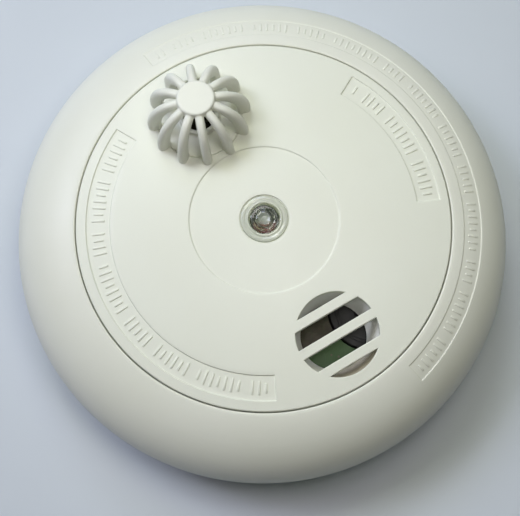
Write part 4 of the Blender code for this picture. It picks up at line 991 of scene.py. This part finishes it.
def make_duct():
    """The tapered white duct between the grille and the sounder. Its top edge follows the dome, and its bore
    narrows more on the outer side."""
    # Corners as (radius, share of the height, share of the lean)
    corners = np.array([
        (GRILLE_RADIUS + 1.2 * DUCT_WALL, 1.0, 0),
        (DUCT_OUTLET + DUCT_WALL, 0.0, 0),
        (DUCT_BORE, 0.0, 1),
        (GRILLE_RADIUS + 0.16 * MM, 1.0, 0),
    ])
    shares = np.arange(6)[:, None] / 6
    sides = zip(corners, np.roll(corners, -1, axis=0))
    profile = np.concatenate([start + (end - start) * shares for start, end in sides])
    turns = np.arange(128) * 2 * math.pi / 128
    x = GRILLE_CENTRE.x + profile[:, :1] * np.cos(turns) + DUCT_LEAN.x * profile[:, 2:]
    y = GRILLE_CENTRE.y + profile[:, :1] * np.sin(turns) + DUCT_LEAN.y * profile[:, 2:]
    top = dome_z(np.hypot(x, y), COVER_WALL - 0.2 * MM)
    grid = np.stack([x, y, DUCT_LOW.z + (top - DUCT_LOW.z) * profile[:, 1:2]], axis=2)
    mesh = shade(mesh_from_grid("duct_wall", grid, wrap_rows=True), 40.0)
    new_piece("duct_wall", mesh, "test_face", DUCT_LOOK, ["sound_duct"])


def make_sounder_cap():
    """The black face of the sounder, with stepped rings and its sound hole."""
    low, top = SOUNDER_CAP_LOW.z, SOUNDER_CAP_HIGH.z
    radius = (SOUNDER_CAP_HIGH.x - SOUNDER_CAP_LOW.x) / 2
    hole = 3.0 * MM
    corners = [
        (hole, top - 0.5 * MM, 0.2 * MM),
        (4.4 * MM, top - 0.5 * MM, 0.1 * MM),
        (4.7 * MM, top - 0.1 * MM, 0.2 * MM),
        (radius - 2.9 * MM, top - 0.1 * MM, 0.1 * MM),
        (radius - 2.7 * MM, top - 0.2 * MM, 0.1 * MM),
        (radius - 2.0 * MM, top - 0.2 * MM, 0.1 * MM),
        (radius - 1.8 * MM, top, 0.1 * MM),
        (radius, top, 0.4 * MM),
        (radius, low, 0.1 * MM),
        (hole, low, 0.1 * MM),
    ]
    profile = rounded_profile(corners, closed=True)
    mesh = shade(turned_mesh("sounder_face", profile, 96, True, box_middle("sounder_cap")), 40.0)
    new_piece("sounder_face", mesh, "head", BLACK_LOOK, ["sounder_cap"])


def make_bead():
    """The thermistor: a dark epoxy drop on two tinned leads."""
    top = BEAD_HIGH.z
    middle = Vector((box_middle("thermistor").x, BEAD_HIGH.y - BEAD_RADIUS))
    corners = hung(top, (0, 0, 0), (1.1, 0.25, 0.5), (1.6, 1.9, 1.0))
    corners += hung(top, (1.0, 3.4, 0.8), (0.62, 4.3, 0.3), (0, 4.4, 0))
    mesh = turned_mesh("sensor_bead", rounded_profile(corners, steps=6), 48, centre=middle)
    shade(mesh, 60.0)
    new_piece("sensor_bead", mesh, "head", BLACK_LOOK, ["thermistor"])
    for name, side in (("sensor_lead_left", -1), ("sensor_lead_right", 1)):
        foot = Vector((GUARD_CENTRE.x + side * 1.27 * MM, GUARD_CENTRE.y, BEAD_LOW.z))
        up = Vector((0, 0, 3 * MM))
        knee = Vector((middle.x + side * 0.4 * MM, middle.y, top - 5.5 * MM))
        tip = Vector((middle.x + side * 0.35 * MM, middle.y, top - 3.8 * MM))
        path = smooth_path([foot, foot + up, foot + 2 * up, knee, tip], 40)
        lead = shade(tube_mesh(name, path, 0.25 * MM, 3), 60.0)
        new_piece(name, lead, "head", STEEL_LOOK)


def make_lamp():
    """The round red lamp under the lens."""
    radius, flange_radius, base = 2.5 * MM, 2.95 * MM, LED_LOW.z
    turns = np.linspace(0, math.pi / 2, 14)
    dome = [(radius * math.sin(a), LED_HIGH.z - radius + radius * math.cos(a)) for a in turns]
    flange = [(radius, base + 1.1 * MM), (2.8 * MM, base + 1.0 * MM), (flange_radius, base + 0.8 * MM)]
    flange += [(flange_radius, base), (0, base)]
    mesh = shade(turned_mesh("lamp_body", dome + flange, 64), 40.0)
    new_piece("lamp_body", mesh, "head", LED_LOOK, ["indicator_led"])


def make_springs():
    """The three return springs, wound from round wire with closed ends."""
    wire, radius = 0.4 * MM, 3.1 * MM
    turns, steps = 7, 28
    for name in ("return_spring_1", "return_spring_2", "return_spring_3"):
        low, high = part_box(name)
        centre = box_middle(name)
        bottom, top = low.z + wire, high.z - wire
        path = []
        for i in range(turns * steps + 1):
            turn = i / steps
            angle = 2 * math.pi * turn
            first, last = min(turn, 1.0), max(turn - (turns - 1), 0.0)
            middle = (turn - first - last) / (turns - 2)
            z = bottom + 2.1 * wire * (first + last) + (top - bottom - 4.2 * wire) * middle
            path.append((centre.x + radius * math.cos(angle), centre.y + radius * math.sin(angle), z))
        mesh = shade(tube_mesh(name + "_coil", path, wire, 3), 60.0)
        coil = new_piece(name + "_coil", mesh, "head", STEEL_LOOK, [name])
        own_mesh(coil)


def keyhole_cutter(side):
    """One keyhole: a round entry and a slot along Y."""
    x, reach, half, entry = side * 56.0 * MM, 6.0 * MM, 2.5 * MM, 4.6 * MM
    neck = math.acos(half / entry)
    points = []
    for a in np.linspace(math.pi / 2 + (math.pi / 2 - neck), 2 * math.pi + neck, 40):
        points.append((entry * math.cos(a), entry * math.sin(a) - reach))
    for a in np.linspace(0, math.pi, 20):
        points.append((half * math.cos(a), reach + half * math.sin(a)))
    levels = (-2 * MM, PLATE_LOW.z + 5 * MM)
    rows = [[(x + side * px, side * py, z) for px, py in points] for z in levels]
    return closed_ends(mesh_from_grid("keyhole", np.array(rows)))


def make_plate():
    """The mounting plate: a flat ring with stiffening steps, two keyholes and three hooks."""
    radius, opening, thick = PLATE_HIGH.x, 44.0 * MM, 2.5 * MM
    corners = [(radius, thick, 0.7 * MM), (radius, 0, 0.35 * MM)]
    corners += in_mm((64.5, 0, 0.1), (64.2, 0.35, 0.1), (63.2, 0.35, 0.1), (62.9, 0, 0.1))
    corners += in_mm((48.6, 0, 0.1), (48.3, 0.35, 0.1), (47.3, 0.35, 0.1), (47.0, 0, 0.1))
    corners += [(opening, 0, 0.35 * MM), (opening, thick, 0.35 * MM)]
    mesh = turned_mesh("plate_ring", rounded_profile(corners, closed=True, steps=3), 192, True)
    mesh = cut_mesh(mesh, [keyhole_cutter(side) for side in (-1, 1)])
    hooks = []
    for degrees in (20.0, 140.0, 260.0):
        turn = Matrix.Rotation(math.radians(degrees), 4, "Z")
        top = PLATE_HIGH.z
        post = box_mesh("hook", (48.8 * MM, -4 * MM, 1.5 * MM), (50.8 * MM, 4 * MM, top), 0.3 * MM)
        top -= 0.05 * MM
        head = box_mesh("hook", (49.8 * MM, -3.7 * MM, 5.9 * MM), (53.8 * MM, 3.7 * MM, top), 0.3 * MM)
        for part in (post, head):
            part.transform(turn)
            hooks.append(part)
    shade(join_mesh(mesh, hooks), 32.0)
    new_piece("plate_ring", mesh, "base_plate", WHITE_LOOK, ["mounting_plate"])


def finish_cad_nodes():
    """The inner CAD parts keep their shape, and get procedural materials and smooth shading."""
    looks = (
        (WHITE_LOOK, "rear_housing", "battery_door"),
        (BLACK_LOOK, "sounder_case", "switch_housing", "switch_plunger", "alarm_chip", "diode"),
        (CAN_LOOK, "capacitor_1", "capacitor_2"),
        (RESISTOR_LOOK, "resistor_1", "resistor_2", "resistor_3"),
        (BOARD_LOOK, "circuit_board"),
        (BRASS_LOOK, "sounder_brass_plate"),
        (CERAMIC_LOOK, "sounder_ceramic"),
        (COPPER_LOOK, "inductor"),
        (BATTERY_LOOK, "battery"),
    )
    look_of = {name: look for look, *names in looks for name in names}
    for name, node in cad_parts.items():
        if node.hide_render:
            continue
        look = look_of.get(name, STEEL_LOOK)
        for slot in node.material_slots:
            slot.material = look
        node.data.shade_smooth()
        node.data.set_sharp_from_angle(angle=math.radians(35.0))


# ---- stage


def make_stage():
    """A pale table top, soft light from the upper left, and the camera."""
    mesh = bpy.data.meshes.new("table_top")
    bm = bmesh.new()
    bmesh.ops.create_grid(bm, x_segments=8, y_segments=8, size=1.6)
    bm.to_mesh(mesh)
    bm.free()
    table = bpy.data.objects.new("table_top", mesh)
    table.location.z = -0.0002
    bpy.context.scene.collection.objects.link(table)
    mesh.materials.append(table_top("table_top"))

    def area_light(name, spot, aim, size, power, colour):
        light = bpy.data.lights.new(name, "AREA")
        light.shape = "SQUARE"
        light.size = size
        light.energy = power
        light.color = colour
        holder = bpy.data.objects.new(name, light)
        holder.location = spot
        holder.rotation_euler = (Vector(aim) - Vector(spot)).to_track_quat("-Z", "Y").to_euler()
        bpy.context.scene.collection.objects.link(holder)

    far, near, face = 0.3, 0.12, (0.0, 0.0, 0.02)
    area_light("key_high", (-0.245, 0.4245, 0.7548), face, far, 1.8, (0.94, 0.98, 0.8))
    area_light("key_left", (-0.5414, 0.3126, 0.6474), face, far, 2.62, (0.72, 0.81, 1.0))
    area_light("left", (-0.6039, 0.1618, 0.6474), face, far, 1.15, (0.97, 0.87, 1.0))
    area_light("back", (-0.12, 0.64, 0.62), face, far, 1.2, (0.66, 0.72, 1.0))
    area_light("near_back", (0.1, 0.22, 0.45), (0.05, 0.11, 0.03), 0.15, 0.16, (0.88, 1.0, 0.5))
    area_light("near_top", (0.04, 0.0, 0.3), (0.02, 0.0, 0.03), near, 0.2, (1.0, 0.94, 0.97))
    area_light("near_front", (0.05, -0.05, 0.36), (0.025, -0.025, 0.03), near, 0.07, (0.9, 1.0, 0.7))

    world = bpy.data.worlds.new("studio")
    world.use_nodes = True
    backdrop = world.node_tree.nodes["Background"]
    backdrop.inputs["Color"].default_value = (0.95, 1.0, 0.9, 1.0)
    backdrop.inputs["Strength"].default_value = 0.008
    bpy.context.scene.world = world

    camera = bpy.data.cameras.new("camera")
    camera.sensor_width = 36.0
    camera.lens = 65.84
    camera.clip_start = 0.01
    camera.clip_end = 10.0
    holder = bpy.data.objects.new("camera", camera)
    holder.location = Vector((-5.6, -63.6, 305.0)) * MM
    pitch = Matrix.Rotation(math.radians(11.07), 4, "X")
    yaw = Matrix.Rotation(math.radians(-0.91), 4, "Y")
    holder.rotation_euler = (pitch @ yaw).to_euler()
    bpy.context.scene.collection.objects.link(holder)
    bpy.context.scene.camera = holder
    bpy.context.scene.view_settings.view_transform = "Standard"


make_stage()
make_rim()
make_cover()
make_guard()
make_lens()
make_duct()
make_sounder_cap()
make_bead()
make_lamp()
make_springs()
make_plate()
finish_cad_nodes()
